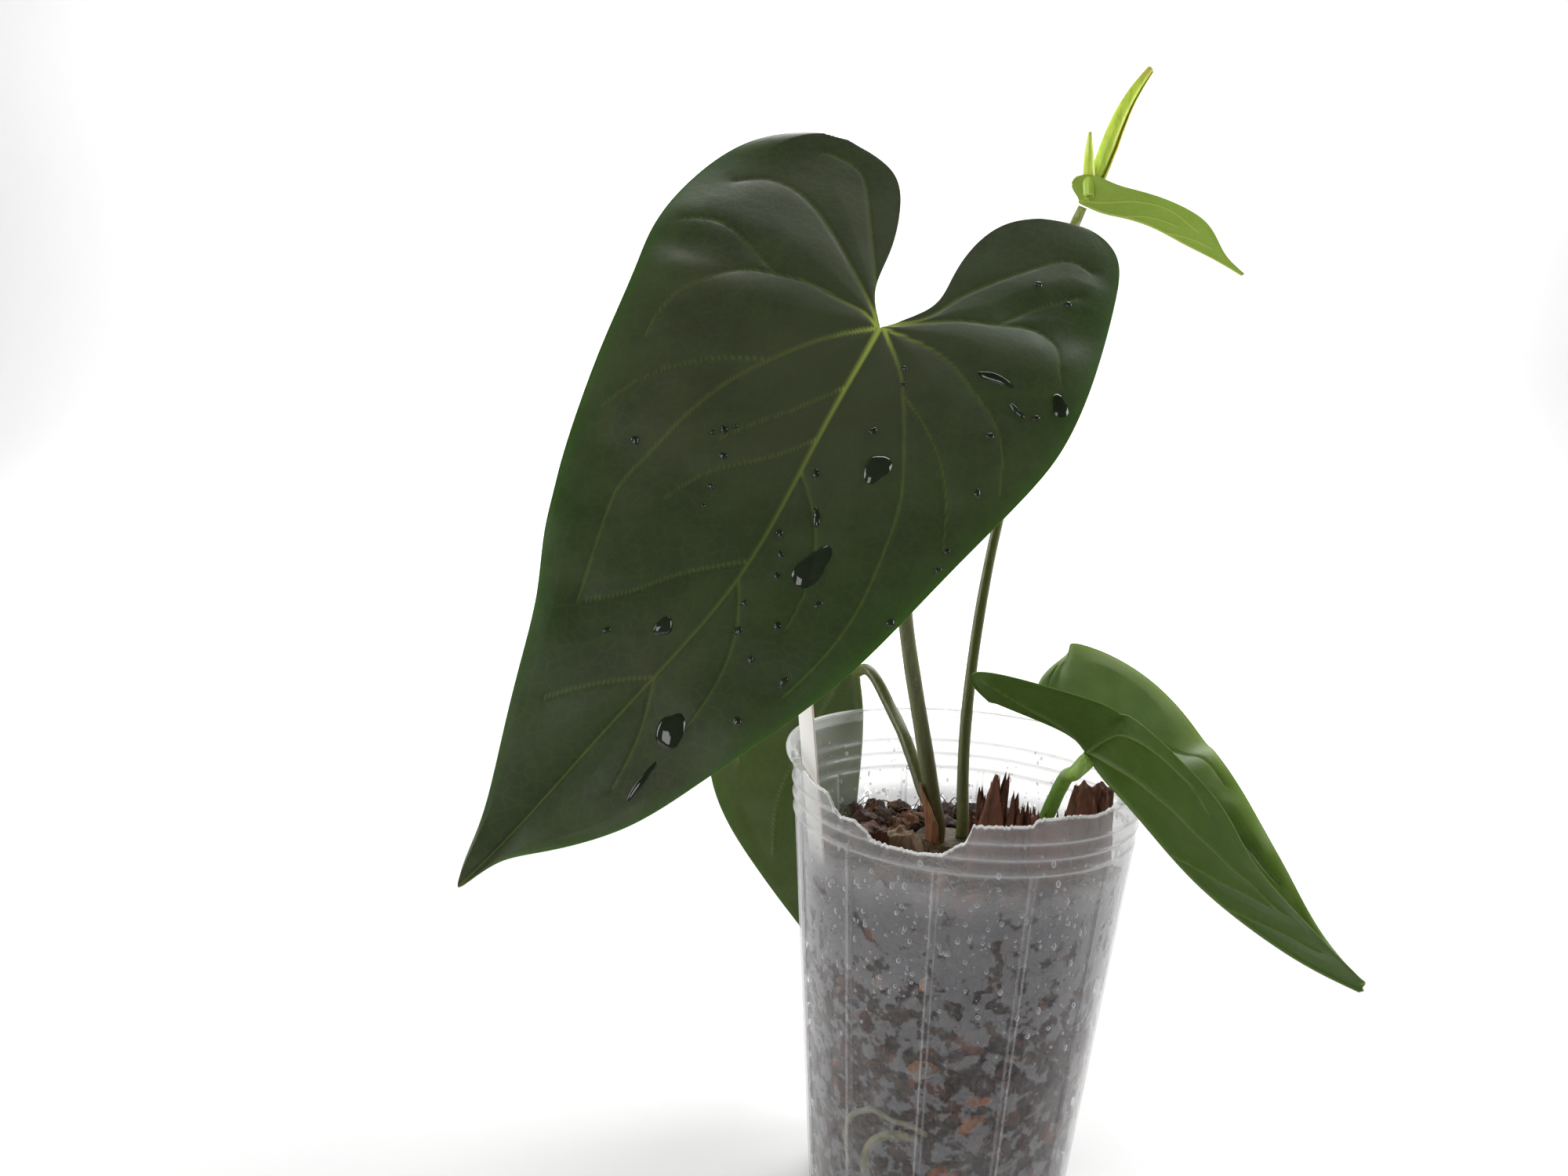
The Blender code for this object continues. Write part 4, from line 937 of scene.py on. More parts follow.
def build_fibres():
    """Loose husk hairs on the mix."""
    rng = random.Random(21)
    points = []
    faces = []
    for _ in range(FIBRE_COUNT):
        radius = math.sqrt(rng.random()) * 40 * MM
        turn = rng.uniform(0, 2 * math.pi)
        start = np.array((radius * math.cos(turn), radius * math.sin(turn)))
        if math.hypot(*(start - np.array(CROWN_AT))) < 12 * MM:
            continue
        heading = rng.uniform(0, 2 * math.pi)
        length = rng.uniform(5, 13) * MM
        bend = rng.uniform(-1.4, 1.4)
        rise = rng.uniform(0.5, 4.0) * MM
        route = []
        spot = start.copy()
        for step in range(9):
            share = step / 8
            z = mix_height(spot[0], spot[1]) + 1.2 * MM + rise * math.sin(math.pi * share)
            route.append((spot[0], spot[1], z))
            spot = spot + np.array((math.cos(heading), math.sin(heading))) * length / 8
            heading += bend / 8
            if math.hypot(*spot) > wall_radius(MIX_LEVEL) - 2.0 * MM:
                break
        if len(route) < 4:
            continue
        route = np.array(route)
        first, second = frames_along(route)
        begin = len(points)
        thick = rng.uniform(0.10, 0.20) * MM
        for spot3, a, b in zip(route, first, second):
            for corner in range(4):
                angle = corner * math.pi / 2
                points.append(spot3 + (a * math.cos(angle) + b * math.sin(angle)) * thick)
        for i in range(len(route) - 1):
            for corner in range(4):
                after = (corner + 1) % 4
                faces.append((begin + 4 * i + corner, begin + 4 * i + after,
                              begin + 4 * i + 4 + after, begin + 4 * i + 4 + corner))
        faces.append((begin + 3, begin + 2, begin + 1, begin))
        last = begin + 4 * (len(route) - 1)
        faces.append((last, last + 1, last + 2, last + 3))
    piece = add_mesh("husk_fibres", points, faces)
    kit = Nodes("husk_fibre")
    kit.set(Base_Color=kit.mix(kit.noise(300), (0.10, 0.045, 0.02), (0.30, 0.17, 0.08)), Roughness=0.7)
    give(piece, kit.material)


def weathered(node, name, material, voxel, rough, jagged=0.0):
    """Fine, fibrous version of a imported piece, in the same place."""
    source = nodes[node]
    mesh = source.data.copy()
    piece = bpy.data.objects.new(name, mesh)
    bpy.context.scene.collection.objects.link(piece)
    remesh = piece.modifiers.new("Remesh", "REMESH")
    remesh.mode = "VOXEL"
    remesh.voxel_size = voxel
    bpy.context.view_layer.update()
    fine = bpy.data.meshes.new_from_object(piece.evaluated_get(bpy.context.evaluated_depsgraph_get()))
    piece.modifiers.clear()
    piece.data = fine
    low, high = (np.array(corner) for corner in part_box(node))
    size = high - low
    axis = int(np.argmax(size))
    scale = np.array((420.0, 420.0, 420.0))
    scale[axis] = 90.0
    spots = np.array([vert.co for vert in fine.vertices])
    normals = np.array([vert.normal for vert in fine.vertices])
    moved = []
    for spot, normal in zip(spots, normals):
        wave = noise.noise(Vector(spot * scale)) + 0.5 * noise.noise(Vector(spot * scale * 2.3))
        lump = noise.noise(Vector(spot * 160))
        ragged = jagged * size[2] * (noise.noise(Vector(spot * (460, 460, 60))) - 0.3)
        rise = max(0.0, (spot[2] - low[2]) / size[2] - 0.35) ** 1.5
        moved.append(spot + normal * (rough * (0.8 * wave + 0.6 * lump)) + np.array((0, 0, ragged * rise)))
    fine.vertices.foreach_set("co", np.ravel(moved))
    fine.update()
    fine.shade_smooth()
    belong(piece, (node,))
    give(piece, material)


for node, slot, tone in (
        ("husk_spike_shard", "dark_husk", 0.52), ("husk_brown_block", "brown_husk", 0.45),
        ("husk_pale_chip", "pale_husk", 0.93), ("husk_right_shard", "brown_husk", 0.55),
        ("husk_low_chip", "dark_husk", 0.5), ("husk_rear_chip", "dark_husk", 0.25),
        ("husk_left_chip", "dark_husk", 0.3)):
    weathered(node, node + "_bark", husk_material(node + "_bark", tone), 0.35 * MM, 0.55 * MM, 0.22)
for node, tone in (("dark_stick", 0.1), ("husk_twig", 0.55)):
    weathered(node, node + "_bark", husk_material(node + "_bark", tone), 0.25 * MM, 0.12 * MM)


# Splinters of the torn shards: offset from the shard's peak and drop below it, in mm
SPIKE_SPLINTERS = ((-5, 11), (-3.5, 7), (-2, 3.5), (0, 0), (1.5, 2.5), (3.5, 4.5), (5.5, 6.5), (8, 8),
                   (10.5, 7.5),
                   (13, 9), (15, 11))
SPLINTER_ROOT = 4.0         # mm below the mix's level
RIGHT_SPLINTERS = ((-14, 8.5), (-11.5, 7), (-9, 6.5), (-6.5, 4.5), (-4, 4), (-1.5, 2), (1, 0.5), (2.5, 1))


def build_splinters(name, node, peak, plan, seed):
    """Torn husk: flat fibrous splinters standing side by side, ragged along their tops."""
    rng = random.Random(seed)
    points = []
    faces = []
    around, rows = 10, 12
    for offset, drop in plan:
        for depth in (-1.6, 0.4, 2.0):
            tall = (peak[2] - MIX_LEVEL) / MM - drop * rng.uniform(1.0, 1.25) + SPLINTER_ROOT
            wide = rng.uniform(1.2, 2.3)
            thick = rng.uniform(0.5, 1.0)
            lean = rng.uniform(-0.10, 0.10)
            turn = rng.uniform(-0.5, 0.5)
            start = len(points)
            for row in range(rows):
                share = row / (rows - 1)
                taper = (1 - share ** 2.2) ** 0.8 + 0.03
                for k in range(around):
                    angle = 2 * math.pi * k / around
                    x, y = wide * taper * math.cos(angle), thick * taper * math.sin(angle)
                    grain = noise.noise(Vector((x * 1.3, y * 2.0 + seed, share * tall * 0.35 + offset * 3.1)))
                    x, y = x * (1 + 0.5 * grain), y * (1 + 0.5 * grain)
                    x, y = x * math.cos(turn) - y * math.sin(turn), x * math.sin(turn) + y * math.cos(turn)
                    points.append((peak[0] + (offset + x + lean * share * tall) * MM,
                                   peak[1] + (depth + y + grain * share) * MM,
                                   MIX_LEVEL + (share * tall - SPLINTER_ROOT) * MM))
            for row in range(rows - 1):
                for k in range(around):
                    a, b = start + row * around + k, start + row * around + (k + 1) % around
                    faces.append((a, b, b + around, a + around))
            faces.append(tuple(start + k for k in range(around))[::-1])
            faces.append(tuple(start + (rows - 1) * around + k for k in range(around)))
    piece = add_mesh(name, points, faces, (node,))
    piece.data.shade_smooth()
    give(piece, husk_material(name, 0.5))


def shard_peak(node, across, back):
    """Point over the middle of a packed shard's box, moved by millimetres."""
    low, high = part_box(node)
    return (low[0] + high[0]) / 2 + across * MM, (low[1] + high[1]) / 2 + back * MM, high[2]


build_splinters("husk_spike_splinters", "husk_spike_shard",
                shard_peak("husk_spike_shard", 0, 1), SPIKE_SPLINTERS, 3)
build_splinters("husk_right_splinters", "husk_right_shard",
                shard_peak("husk_right_shard", 5, -1), RIGHT_SPLINTERS, 5)


def crown_material():
    kit = Nodes("crown")
    fibre = kit.noise(620, 4.0, 0.7, kit.place((1, 1, 0.15)))
    colour = kit.mix(kit.ramp(fibre, 0.35, 0.68), srgb(46, 34, 20), srgb(112, 88, 52))
    kit.set(Base_Color=colour, Roughness=0.7, Normal=kit.bump(fibre, 0.5 * MM, 0.9))
    return kit.material


weathered("crown", "crown_skin", crown_material(), 0.4 * MM, 0.35 * MM)


def cataphyll_material():
    kit = Nodes("cataphyll")
    fibre = kit.noise(800, 3.0, 0.6, kit.place((1, 1, 0.08)))
    colour = kit.mix(kit.ramp(fibre, 0.35, 0.68), srgb(108, 66, 44), srgb(168, 120, 82))
    kit.set(Base_Color=colour, Roughness=0.5, Normal=kit.bump(fibre, 0.2 * MM, 0.7))
    return kit.material


weathered("cataphyll", "cataphyll_skin", cataphyll_material(), 0.16 * MM, 0.04 * MM)

# ---------------------------------------------------------------- blades

RIM_FRONT = (0.0, -RIM_RADIUS, POT_HEIGHT)
RIM_RIGHT = on_rim(35.1, -39)
RIM_REAR = (0.0, RIM_RADIUS, POT_HEIGHT)
ABOVE_POT = (0.0, 0.0, POT_HEIGHT)

FRONT_LEAF = Leaf(
    RIM_FRONT,
    [(-14, 69.5, 163), (-25, 47, 139), (-35, 24.5, 117), (-46, 6.5, 96), (-55, -7.5, 77.5),
     (-67, -22.5, 55.6), (-81, -33.5, 38), (-97, -42.5, 19.2), (-112, -48.5, 1.2), (-121, -50.5, -8.5)],
    2, [(0.857, -0.344, -0.384)] * 10,
    [(-70, 4, 4, -3, -3), (0, 8, 8, -4, -4), (80, 8, 8, -4, -4), (140, 12, 12, -4, -4),
     (175, 20, 20, -1, -1)])
FRONT_HALVES = (
    ([(-68, -31), (-60, -16), (-45, -9), (-28, -6.5), (-12, -5.5), (0, 0)],
     [(-68, -31), (-69.5, -42), (-61, -58), (-40, -67.5), (-12, -69), (20, -64), (50, -58), (80, -51.5),
      (100, -44), (114, -34), (128, -25), (148, -13), (160, -6.5), (168, -3), (173, 0)]),
    ([(-60, 32), (-52, 20), (-36, 13.5), (-22, 12), (-11, 10), (0, 0)],
     [(-60, 32), (-61, 41), (-55, 50), (-37, 54.3), (-5, 55.2), (22, 54.5), (46, 48.5), (70, 40),
      (92, 33.5), (122, 25), (140, 19), (154, 9), (162, 3), (168, 1.2), (173, 0)]))
FRONT_VEINS = [
    ([(0, 0), (60, 0), (120, 0), (173, 0)], 0.80, 0.22),
    ([(1, -1), (10, -10), (24, -20), (36, -27), (47, -31), (59, -34), (68, -36), (80, -36), (91, -33),
      (110, -25)],
     0.62, 0.20),
    ([(0, -1), (-2, -4), (-4, -13), (-6, -23), (-5, -31), (-4, -37), (5, -46), (13, -51), (23, -53),
      (30, -52)],
     0.55, 0.16),
    ([(-1, -1), (-5, -4), (-20, -16), (-33, -27), (-42, -39), (-44, -47), (-40, -56)], 0.55, 0.16),
    ([(-2, -2), (-8, -4), (-47, -19), (-58, -26), (-61, -37)], 0.50, 0.15),
    ([(0, 1), (3, 3), (11, 9), (20, 14), (29, 18), (37, 21), (49, 25), (63, 27), (74, 28), (87, 28),
      (99, 26)],
     0.62, 0.20),
    ([(0, 1), (1, 5), (3, 14), (6, 21), (12, 29), (17, 35), (23, 40), (30, 43), (40, 46)], 0.50, 0.16),
    ([(-1, 1), (-4, 8), (-9, 19), (-11, 28), (-13, 37), (-10, 43), (-3, 46), (2, 48)], 0.50, 0.15),
    ([(-2, 2), (-6, 9), (-16, 15), (-26, 22), (-38, 32), (-45, 41), (-43, 46)], 0.50, 0.15),
    ([(77, 0), (90, -12), (101, -18), (109, -24)], 0.30, 0.12),
    ([(112, 0), (122, -9), (131, -15)], 0.26, 0.10),
    ([(40, 0), (51, -9), (60, -19), (72, -25)], 0.28, 0.10),
    ([(22, 0), (33, -7), (44, -16), (52, -22)], 0.24, 0.09),
    ([(50, 0), (62, 9), (76, 15), (88, 17)], 0.28, 0.10),
    ([(82, 0), (94, 8), (108, 13), (116, 14)], 0.28, 0.10),
    ([(112, 0), (124, 7), (136, 11)], 0.24, 0.09),
    ([(24, -20), (30, -33), (42, -46), (56, -52)], 0.26, 0.10),
    ([(-5, -31), (-14, -42), (-20, -54), (-18, -63)], 0.28, 0.10),
    ([(20, 14), (30, 25), (44, 34), (58, 39)], 0.26, 0.10),
    ([(-11, 28), (-22, 36), (-30, 45)], 0.24, 0.09)]

RIGHT_LEAF = Leaf(
    RIM_RIGHT,
    [(-35, 21.1, 17.2), (-17.2, 10.3, 13.4), (-7.4, 10, 9.1), (-2.8, 4.8, 4), (0.1, 1.2, 1.2),
     (5.1, -3.3, -3.8), (17, -12.6, -15.7), (30.2, -21, -24.8), (43.8, -26.9, -31.6), (53.3, -30.3, -34.9)],
    2,
    [(0.15, 0.98, -0.1), (0.25, 0.95, -0.15), (0.38, 0.89, -0.24), (0.38, 0.89, -0.24), (0.38, 0.89, -0.2),
     (0.38, 0.89, -0.1), (0.42, 0.86, 0), (0.45, 0.85, 0), (0.45, 0.85, 0), (0.45, 0.85, 0)],
    [(-40, 30, 38, 1, 0), (-15, 33, 42, 3, 0), (0, 36, 41, 1.5, 0), (30, 43, 41, 2.5, 0), (60, 50, 42, -1, 0),
     (92, 58, 46, 0, 0)])
RIGHT_HALVES = (
    ([(-28, -5), (-20, -4.5), (-10, -3.5), (0, 0)],
     [(-28, -5), (-31, -12), (-28, -19), (-17, -22.6), (0, -24.2), (22, -30.5), (38, -32), (52, -24.5),
      (70, -14),
      (84, -5), (92, 0)]),
    ([(-17, 8), (-12, 6), (-6, 3.5), (0, 0)],
     [(-17, 8), (-22, 14), (-23, 23), (-15, 33.5), (3, 37.6), (26, 31.2), (53, 21), (66, 14), (80, 5.6),
      (92, 0)]))
RIGHT_VEINS = [
    ([(0, 0), (46, 0), (92, 0)], 0.70, 0.22),
    ([(0, -1), (12, -8), (28, -15), (44, -18), (62, -14)], 0.42, 0.14),
    ([(0, -1), (2, -10), (8, -19), (20, -26), (34, -28)], 0.36, 0.12),
    ([(-1, -1), (-12, -7), (-22, -13), (-26, -17)], 0.36, 0.12),
    ([(0, 1), (10, 8), (24, 15), (42, 17), (58, 14)], 0.42, 0.14),
    ([(0, 1), (0, 11), (5, 21), (14, 28), (28, 27)], 0.36, 0.12),
    ([(-1, 1), (-10, 8), (-18, 15), (-20, 24)], 0.36, 0.12),
    ([(34, 0), (46, -8), (58, -13)], 0.24, 0.09), ([(52, 0), (64, -6), (74, -8)], 0.22, 0.08),
    ([(30, 0), (42, 8), (54, 10)], 0.24, 0.09), ([(50, 0), (62, 6), (72, 7)], 0.22, 0.08)]

REAR_LEAF = Leaf(
    RIM_REAR,
    [(-34, 10, 20), (-31, 14, 12), (-27, 19, -5), (-26.5, 17.5, -33), (-28.5, 13.5, -63), (-34, 9.5, -97)],
    1, [(-0.9, -0.1, 0)] * 6,
    [(-40, 75, 5, 4, -4), (0, 82, 5, 4, -4), (60, 82, 8, 0, -4), (112, 75, 10, 0, 0)])
REAR_SINUS = ((-22, 9), (-15, 5), (-7, 3.5), (0, 0))
REAR_MARGIN = ((-22, 9), (-24, 20), (-16, 35), (4, 46), (28, 52), (48, 51), (72, 39), (93, 20), (106, 5),
               (112, 0))

YOUNG_LEAF = Leaf(
    ABOVE_POT,
    [(23.6, 42.4, 163.8), (27.5, 42.1, 162.4), (33.5, 41.2, 159.9), (40.7, 40.7, 158.5), (50.3, 38.9, 155.6),
     (58.8, 37.1, 151.4), (67.3, 35, 147.3), (75.9, 31.9, 142.3)],
    1, [(0.1, 0.98, 0.15)] * 8,
    [(-10, 55, 60, 20, 20), (0, 58, 60, 25, 25), (25, 60, 60, 25, 25), (56, 55, 55, 10, 10)])
YOUNG_SINUS = ((-5, 5), (-3.4, 2.8), (-1.6, 1.4), (0, 0))
YOUNG_MARGIN = ((-5, 5), (-4, 7), (2, 9.3), (12, 8.9), (26, 9.1), (37, 8.4), (44, 4.2), (48, 2), (56, 0))
LONG_LOBE = ((29.5, 41.5, 162.5), (32, 42, 170), (34.8, 43, 179), (37.8, 44, 188), (41.6, 45, 196),
             (46.2, 46, 203))
SHORT_LOBE = ((29.5, 38.6, 163.5), (29, 39.5, 169), (28.3, 39, 175), (28, 38.5, 182))


def both_sides(sinus, margin):
    return tuple(tuple([(s, side * w) for s, w in line] for line in (sinus, margin)) for side in (1, -1))


def mirrored_veins(veins):
    return veins + [([(s, -w) for s, w in points], thick, thin) for points, thick, thin in veins]


REAR_VEINS = [([(0, 0), (56, 0), (112, 0)], 0.70, 0.22)] + mirrored_veins([
    ([(0, 1), (14, 10), (34, 20), (56, 27), (76, 26)], 0.42, 0.14),
    ([(0, 1), (3, 14), (12, 30), (28, 41), (46, 42)], 0.38, 0.12),
    ([(-1, 1), (-9, 11), (-13, 22), (-8, 33)], 0.36, 0.12),
    ([(36, 0), (52, 9), (68, 14)], 0.24, 0.09), ([(60, 0), (76, 8), (88, 11)], 0.22, 0.08)])
YOUNG_VEINS = [([(0, 0), (28, 0), (56, 0)], 0.34, 0.12)] + mirrored_veins([
    ([(0, 0.4), (7, 3), (16, 5.5), (27, 6.5), (36, 5)], 0.16, 0.06),
    ([(14, 0), (22, 2.4), (30, 3.4)], 0.12, 0.05), ([(28, 0), (36, 2.2), (42, 2.4)], 0.12, 0.05)])

front_skin = leaf_material(
    "front_leaf", base=srgb(52, 70, 38), patch=srgb(70, 74, 54), margin=srgb(62, 88, 38),
    vein=srgb(176, 194, 88), under=srgb(88, 106, 56), under_vein=srgb(132, 146,
                                                                      84), roughness=0.42, sheen=0.02,
    gloss=0.12)
# right leaf: partly its own colour, partly painted light; the upper side is painted brighter for light
# shining through the blade from behind, and the underside painted darker as shade
right_skin = leaf_material(
    "right_leaf", base=srgb(108, 140, 52), patch=srgb(78, 104, 44), margin=srgb(136, 158, 74),
    vein=srgb(158, 176, 96), under=srgb(56, 78, 26), under_vein=srgb(88, 106, 48), roughness=0.42, sheen=0.02,
    gloss=0.16)
rear_skin = leaf_material(
    "rear_leaf", base=srgb(86, 110, 40), patch=srgb(66, 88, 32), margin=srgb(116, 132, 66),
    vein=srgb(140, 156, 84), under=srgb(70, 86, 40), under_vein=srgb(96, 112, 56), roughness=0.38, sheen=0.03)
# young leaf: pale yellow-green, partly its own colour and partly painted light, brightened to stand for light
# shining through it from behind
young_skin = leaf_material(
    "young_leaf", base=srgb(142, 172, 56), patch=srgb(168, 178, 62), margin=srgb(168, 104, 60),
    vein=srgb(204, 216, 112), under=srgb(134, 160, 58), under_vein=srgb(168, 184,
                                                                        84), roughness=0.36, sheen=0.03,
    vein_relief=0.3)

front_blade = build_blade("front_blade", FRONT_LEAF, FRONT_HALVES, FRONT_VEINS,
                          "front_leaf_blade",
                          300, 110, 0.9, 0.9, front_skin, groove=0.22)
build_blade("right_blade", RIGHT_LEAF, RIGHT_HALVES, RIGHT_VEINS, "right_leaf_blade",
                          200, 70, 0.7, 0.7, right_skin)
build_blade("rear_blade", REAR_LEAF, both_sides(REAR_SINUS, REAR_MARGIN), REAR_VEINS,
                         "rear_leaf_blade", 200, 70, 0.7, 0.7, rear_skin)
build_blade("young_blade", YOUNG_LEAF, both_sides(YOUNG_SINUS, YOUNG_MARGIN), YOUNG_VEINS,
                          "young_leaf_blade", 120, 40, 0.15, 0.25, young_skin, groove=0.15,
                          ridge=0.3)


def build_rolled_lobe(name, route, radii, turns, lean):
    """Blade lobe still rolled up: a scroll that widens and narrows along its length."""
    path = smooth_path(from_anchor(ABOVE_POT, route), 0.45 * MM)
    first, second = frames_along(path)
    share = chord_length(path) / chord_length(path)[-1]
    radius = np.interp(share, np.linspace(0, 1, len(radii)), radii) * MM
    columns = 90
    around = np.linspace(0, 1, columns)
    turn = around * turns * 2 * np.pi + lean + 0.9 * share[:, None]
    inward = 1 - 0.42 * around[None, :] * np.ones_like(share)[:, None]
    reach = radius[:, None] * inward
    ring = np.cos(turn)[..., None] * first[:, None] + np.sin(turn)[..., None] * second[:, None]
    outer = path[:, None] + ring * reach[..., None]
    thick = 0.28 * MM * np.clip(radius / (1.2 * MM), 0.35, 1)[:, None]
    inner = path[:, None] + ring * (reach - thick)[..., None]
    rows = len(path)
    size = rows * columns
    points = np.concatenate([outer.reshape(-1, 3), inner.reshape(-1, 3)])
    index = np.arange(size).reshape(rows, columns)
    quads = np.stack([index[:-1, :-1], index[:-1, 1:], index[1:, 1:], index[1:, :-1]], -1).reshape(-1, 4)
    faces = quads.tolist() + (quads[:, ::-1] + size).tolist()
    for border in (index[:, 0], index[:, -1], index[0], index[-1]):
        faces += np.stack([border[:-1], border[1:], border[1:] + size, border[:-1] + size], 1).tolist()
    piece = add_mesh(name, points, faces)
    weld(piece, LOBE_WELD, outward=True)
    return piece


def roll(name, route, radii, turns, lean, material):
    piece = build_rolled_lobe(name, route, radii, turns, lean)
    low = min(vert.co.z for vert in piece.data.vertices)
    high = max(vert.co.z for vert in piece.data.vertices)
    set_attribute(piece.data, "up", [(vert.co.z - low) / (high - low) for vert in piece.data.vertices])
    give(piece, material)


def lobe_material():
    kit = Nodes("rolled_lobe")
    up = kit.attribute("up")
    streak = kit.noise(700, 3.0, 0.6, kit.place((1, 1, 0.12)))
    colour = kit.mix(kit.ramp(up, 0.0, 0.5), srgb(176, 204, 72), srgb(214, 234, 84))
    colour = kit.mix(kit.ramp(up, 0.82, 1.0, 0.0, 0.55), colour, srgb(206, 170, 104))
    colour = kit.mix(kit.ramp(streak, 0.40, 0.66, 0.0, 0.5), colour, srgb(140, 184, 62))
    kit.set(Base_Color=colour, Roughness=0.34, Normal=kit.bump(streak, 0.10 * MM, 0.5))
    kit.set(Subsurface_Weight=0.2, Subsurface_Scale=0.0015)
    return kit.material


lobe_skin = lobe_material()
roll("long_lobe", LONG_LOBE, (1.8, 2.9, 3.1, 2.7, 2.1, 1.3), 1.35, 2.4, lobe_skin)
roll("short_lobe", SHORT_LOBE, (1.8, 2.3, 1.8, 0.6), 1.3, 0.6, lobe_skin)

# ---------------------------------------------------------------- petioles

front_path = petiole_path(
    on_crown(-3.5, -4.5), from_anchor(RIM_FRONT, [(-12, 50.5, -1), (-21, 44.5, 37.5), (-28.5, 36.5, 80)]),
    FRONT_LEAF, 2.5, 6, 8)
right_path = petiole_path(
    (*RIGHT_FOOT, MIX_LEVEL - 6 * MM),
    from_anchor(RIM_RIGHT, [(-12.6, 30, -17.5), (-11.5, 23.5, -7.5),
                            (-10.5, 16.5, 0.5)]), RIGHT_LEAF, 1.5, 5, 39)
rear_path = petiole_path(
    on_crown(-3.5, 5.5),
    from_anchor(RIM_REAR, [(-9.5, -38.5, -18), (-15.6, -24, -4), (-20, -11.5, 3.0), (-25.5, -1.5, 10.5)]),
    REAR_LEAF, 2.5, 4, 43)
young_path = petiole_path(
    on_crown(4.5, -0.5),
    from_anchor(ABOVE_POT, [(0.3, 5, -8), (1.2, 10, 22.7), (6.2, 18, 61.9), (17.5, 31, 118),
                            (24, 38.5, 150)]),
    YOUNG_LEAF, 1.5, 4, 59)

mature_skin = stem_material("petiole_mature", srgb(78, 66, 34), srgb(94, 98, 48), srgb(100, 108, 52),
                            srgb(66, 68, 36))
right_stem_skin = stem_material("petiole_right", srgb(104, 134, 50), srgb(108, 146, 58), srgb(130, 162, 66),
                                srgb(88, 116, 46))
young_stem_skin = stem_material("petiole_young", srgb(92, 96, 48), srgb(98, 104, 52), srgb(148, 158, 80),
                                srgb(74, 82, 40))
petiole = PETIOLE_RADIUS
build_stem("front_stem", front_path, (1.15 * petiole, petiole, 0.95 * petiole),
           "front_leaf_petiole",
           mature_skin, swell=0.22)
build_stem("right_stem", right_path, (1.1 * petiole, petiole, 0.95 * petiole),
           "right_leaf_petiole",
           right_stem_skin, swell=0.12)
build_stem("rear_stem", rear_path, (petiole, 0.9 * petiole, 0.85 * petiole),
           "rear_leaf_petiole",
           mature_skin, swell=0.18)
young = YOUNG_PETIOLE_RADIUS
build_stem("young_stem", young_path, (1.2 * young, young, 0.9 * young), "young_leaf_petiole",
           young_stem_skin, swell=0.15)

# ---------------------------------------------------------------- water on the blades

FRONT_DROPS = (
    (60, -39, 3, 2.2, 0, 0.8), (48, -21, 2.2, 2.0, 0, 0.7), (50, -23, 1.4, 1.2, 0, 0.5), (46, -19, 1.2, 1.1,
                                                                                          0, 0.5),
    (55, -18, 2.2, 1.8, 20, 0.6), (64, -17, 2.0, 1.6, 0, 0.6), (70, -16, 1.6, 1.3, 0, 0.5),
    (50, 4, 2.6, 2.0, 0, 0.7), (61, 9, 5.0, 1.8, 30, 0.6), (34, 12, 2.4, 2.0, 0, 0.7),
    (44, 17, 9, 5.6, 10, 1.0), (12, 11, 1.8, 1.5, 0, 0.5), (17, 13, 1.6, 1.4, 0, 0.5),
    (7, 33, 9.0, 2.8, 80, 0.7), (8, 50, 6.0, 4.4, 30, 0.8), (14, 41, 5.0, 1.6, 60, 0.6), (14, 46, 2.0, 1.6,
                                                                                          0, 0.6),
    (24, 38, 2.4, 1.8, 0, 0.6), (-30, 34, 2.4, 2.0, 0, 0.7), (-26, 43, 2.2, 1.8, 0, 0.7),
    (42, 41, 2.2, 1.8, 0, 0.6), (58, 40, 1.8, 1.5, 0, 0.5), (63, 40, 1.6, 1.4, 0, 0.5), (77, 36, 2.0, 1.6, 0,
                                                                                         0.6),
    (68, 3, 2.4, 1.8, 0, 0.6), (73, 6, 2.0, 1.6, 0, 0.6), (73, 14, 10, 7, -20, 1.1), (78, 8, 1.8, 1.5, 0,
                                                                                      0.5),
    (80, 20, 2.0, 1.5, 0, 0.5), (87, 5, 1.8, 1.4, 0, 0.5), (93, 8, 2.4, 1.8, 10, 0.6), (88, 15, 2.2, 1.6, 0,
                                                                                        0.6),
    (97, 15, 2.0, 1.6, 0, 0.6), (97, 24, 2.2, 1.6, 0, 0.6), (111, -15, 2.0, 1.5, 0, 0.5),
    (102, -6, 5.4, 3.6, 20, 0.9), (119, 12, 9.5, 5.4, 30, 1.1), (109, 22, 2.4, 1.8, 0, 0.6),
    (131, 15, 9.5, 1.8, 5, 0.6))
water = water_material()
build_drops("front_drops", front_blade, FRONT_LEAF, FRONT_DROPS, water)

# ---------------------------------------------------------------- pot and what it holds

build_pot()
build_beads()
build_mix_core()
build_mix_chips()
build_fibres()


def root_material():
    kit = Nodes("root_skin")
    blotch = kit.noise(240, 4.0, 0.6)
    colour = kit.mix(kit.ramp(blotch, 0.35, 0.65), srgb(96, 94, 66), srgb(132, 128, 96))
    kit.set(Base_Color=colour, Roughness=0.6, Normal=kit.bump(kit.noise(900, 4.0, 0.6), 0.2 * MM, 0.6))
    return kit.material


root_skin = root_material()
build_stem("upper_root_skin", root_path(UPPER_ROOT, 0.9 * MM), (0.9 * MM, 0.85 * MM, 0.7 * MM),
           "upper_root",
           root_skin, sides=14, flutes=0.05)
build_stem("lower_root_skin", root_path(LOWER_ROOT, 1.4 * MM), (1.4 * MM, 1.3 * MM, 1.1 * MM),
           "lower_root",
           root_skin, sides=16, flutes=0.05)


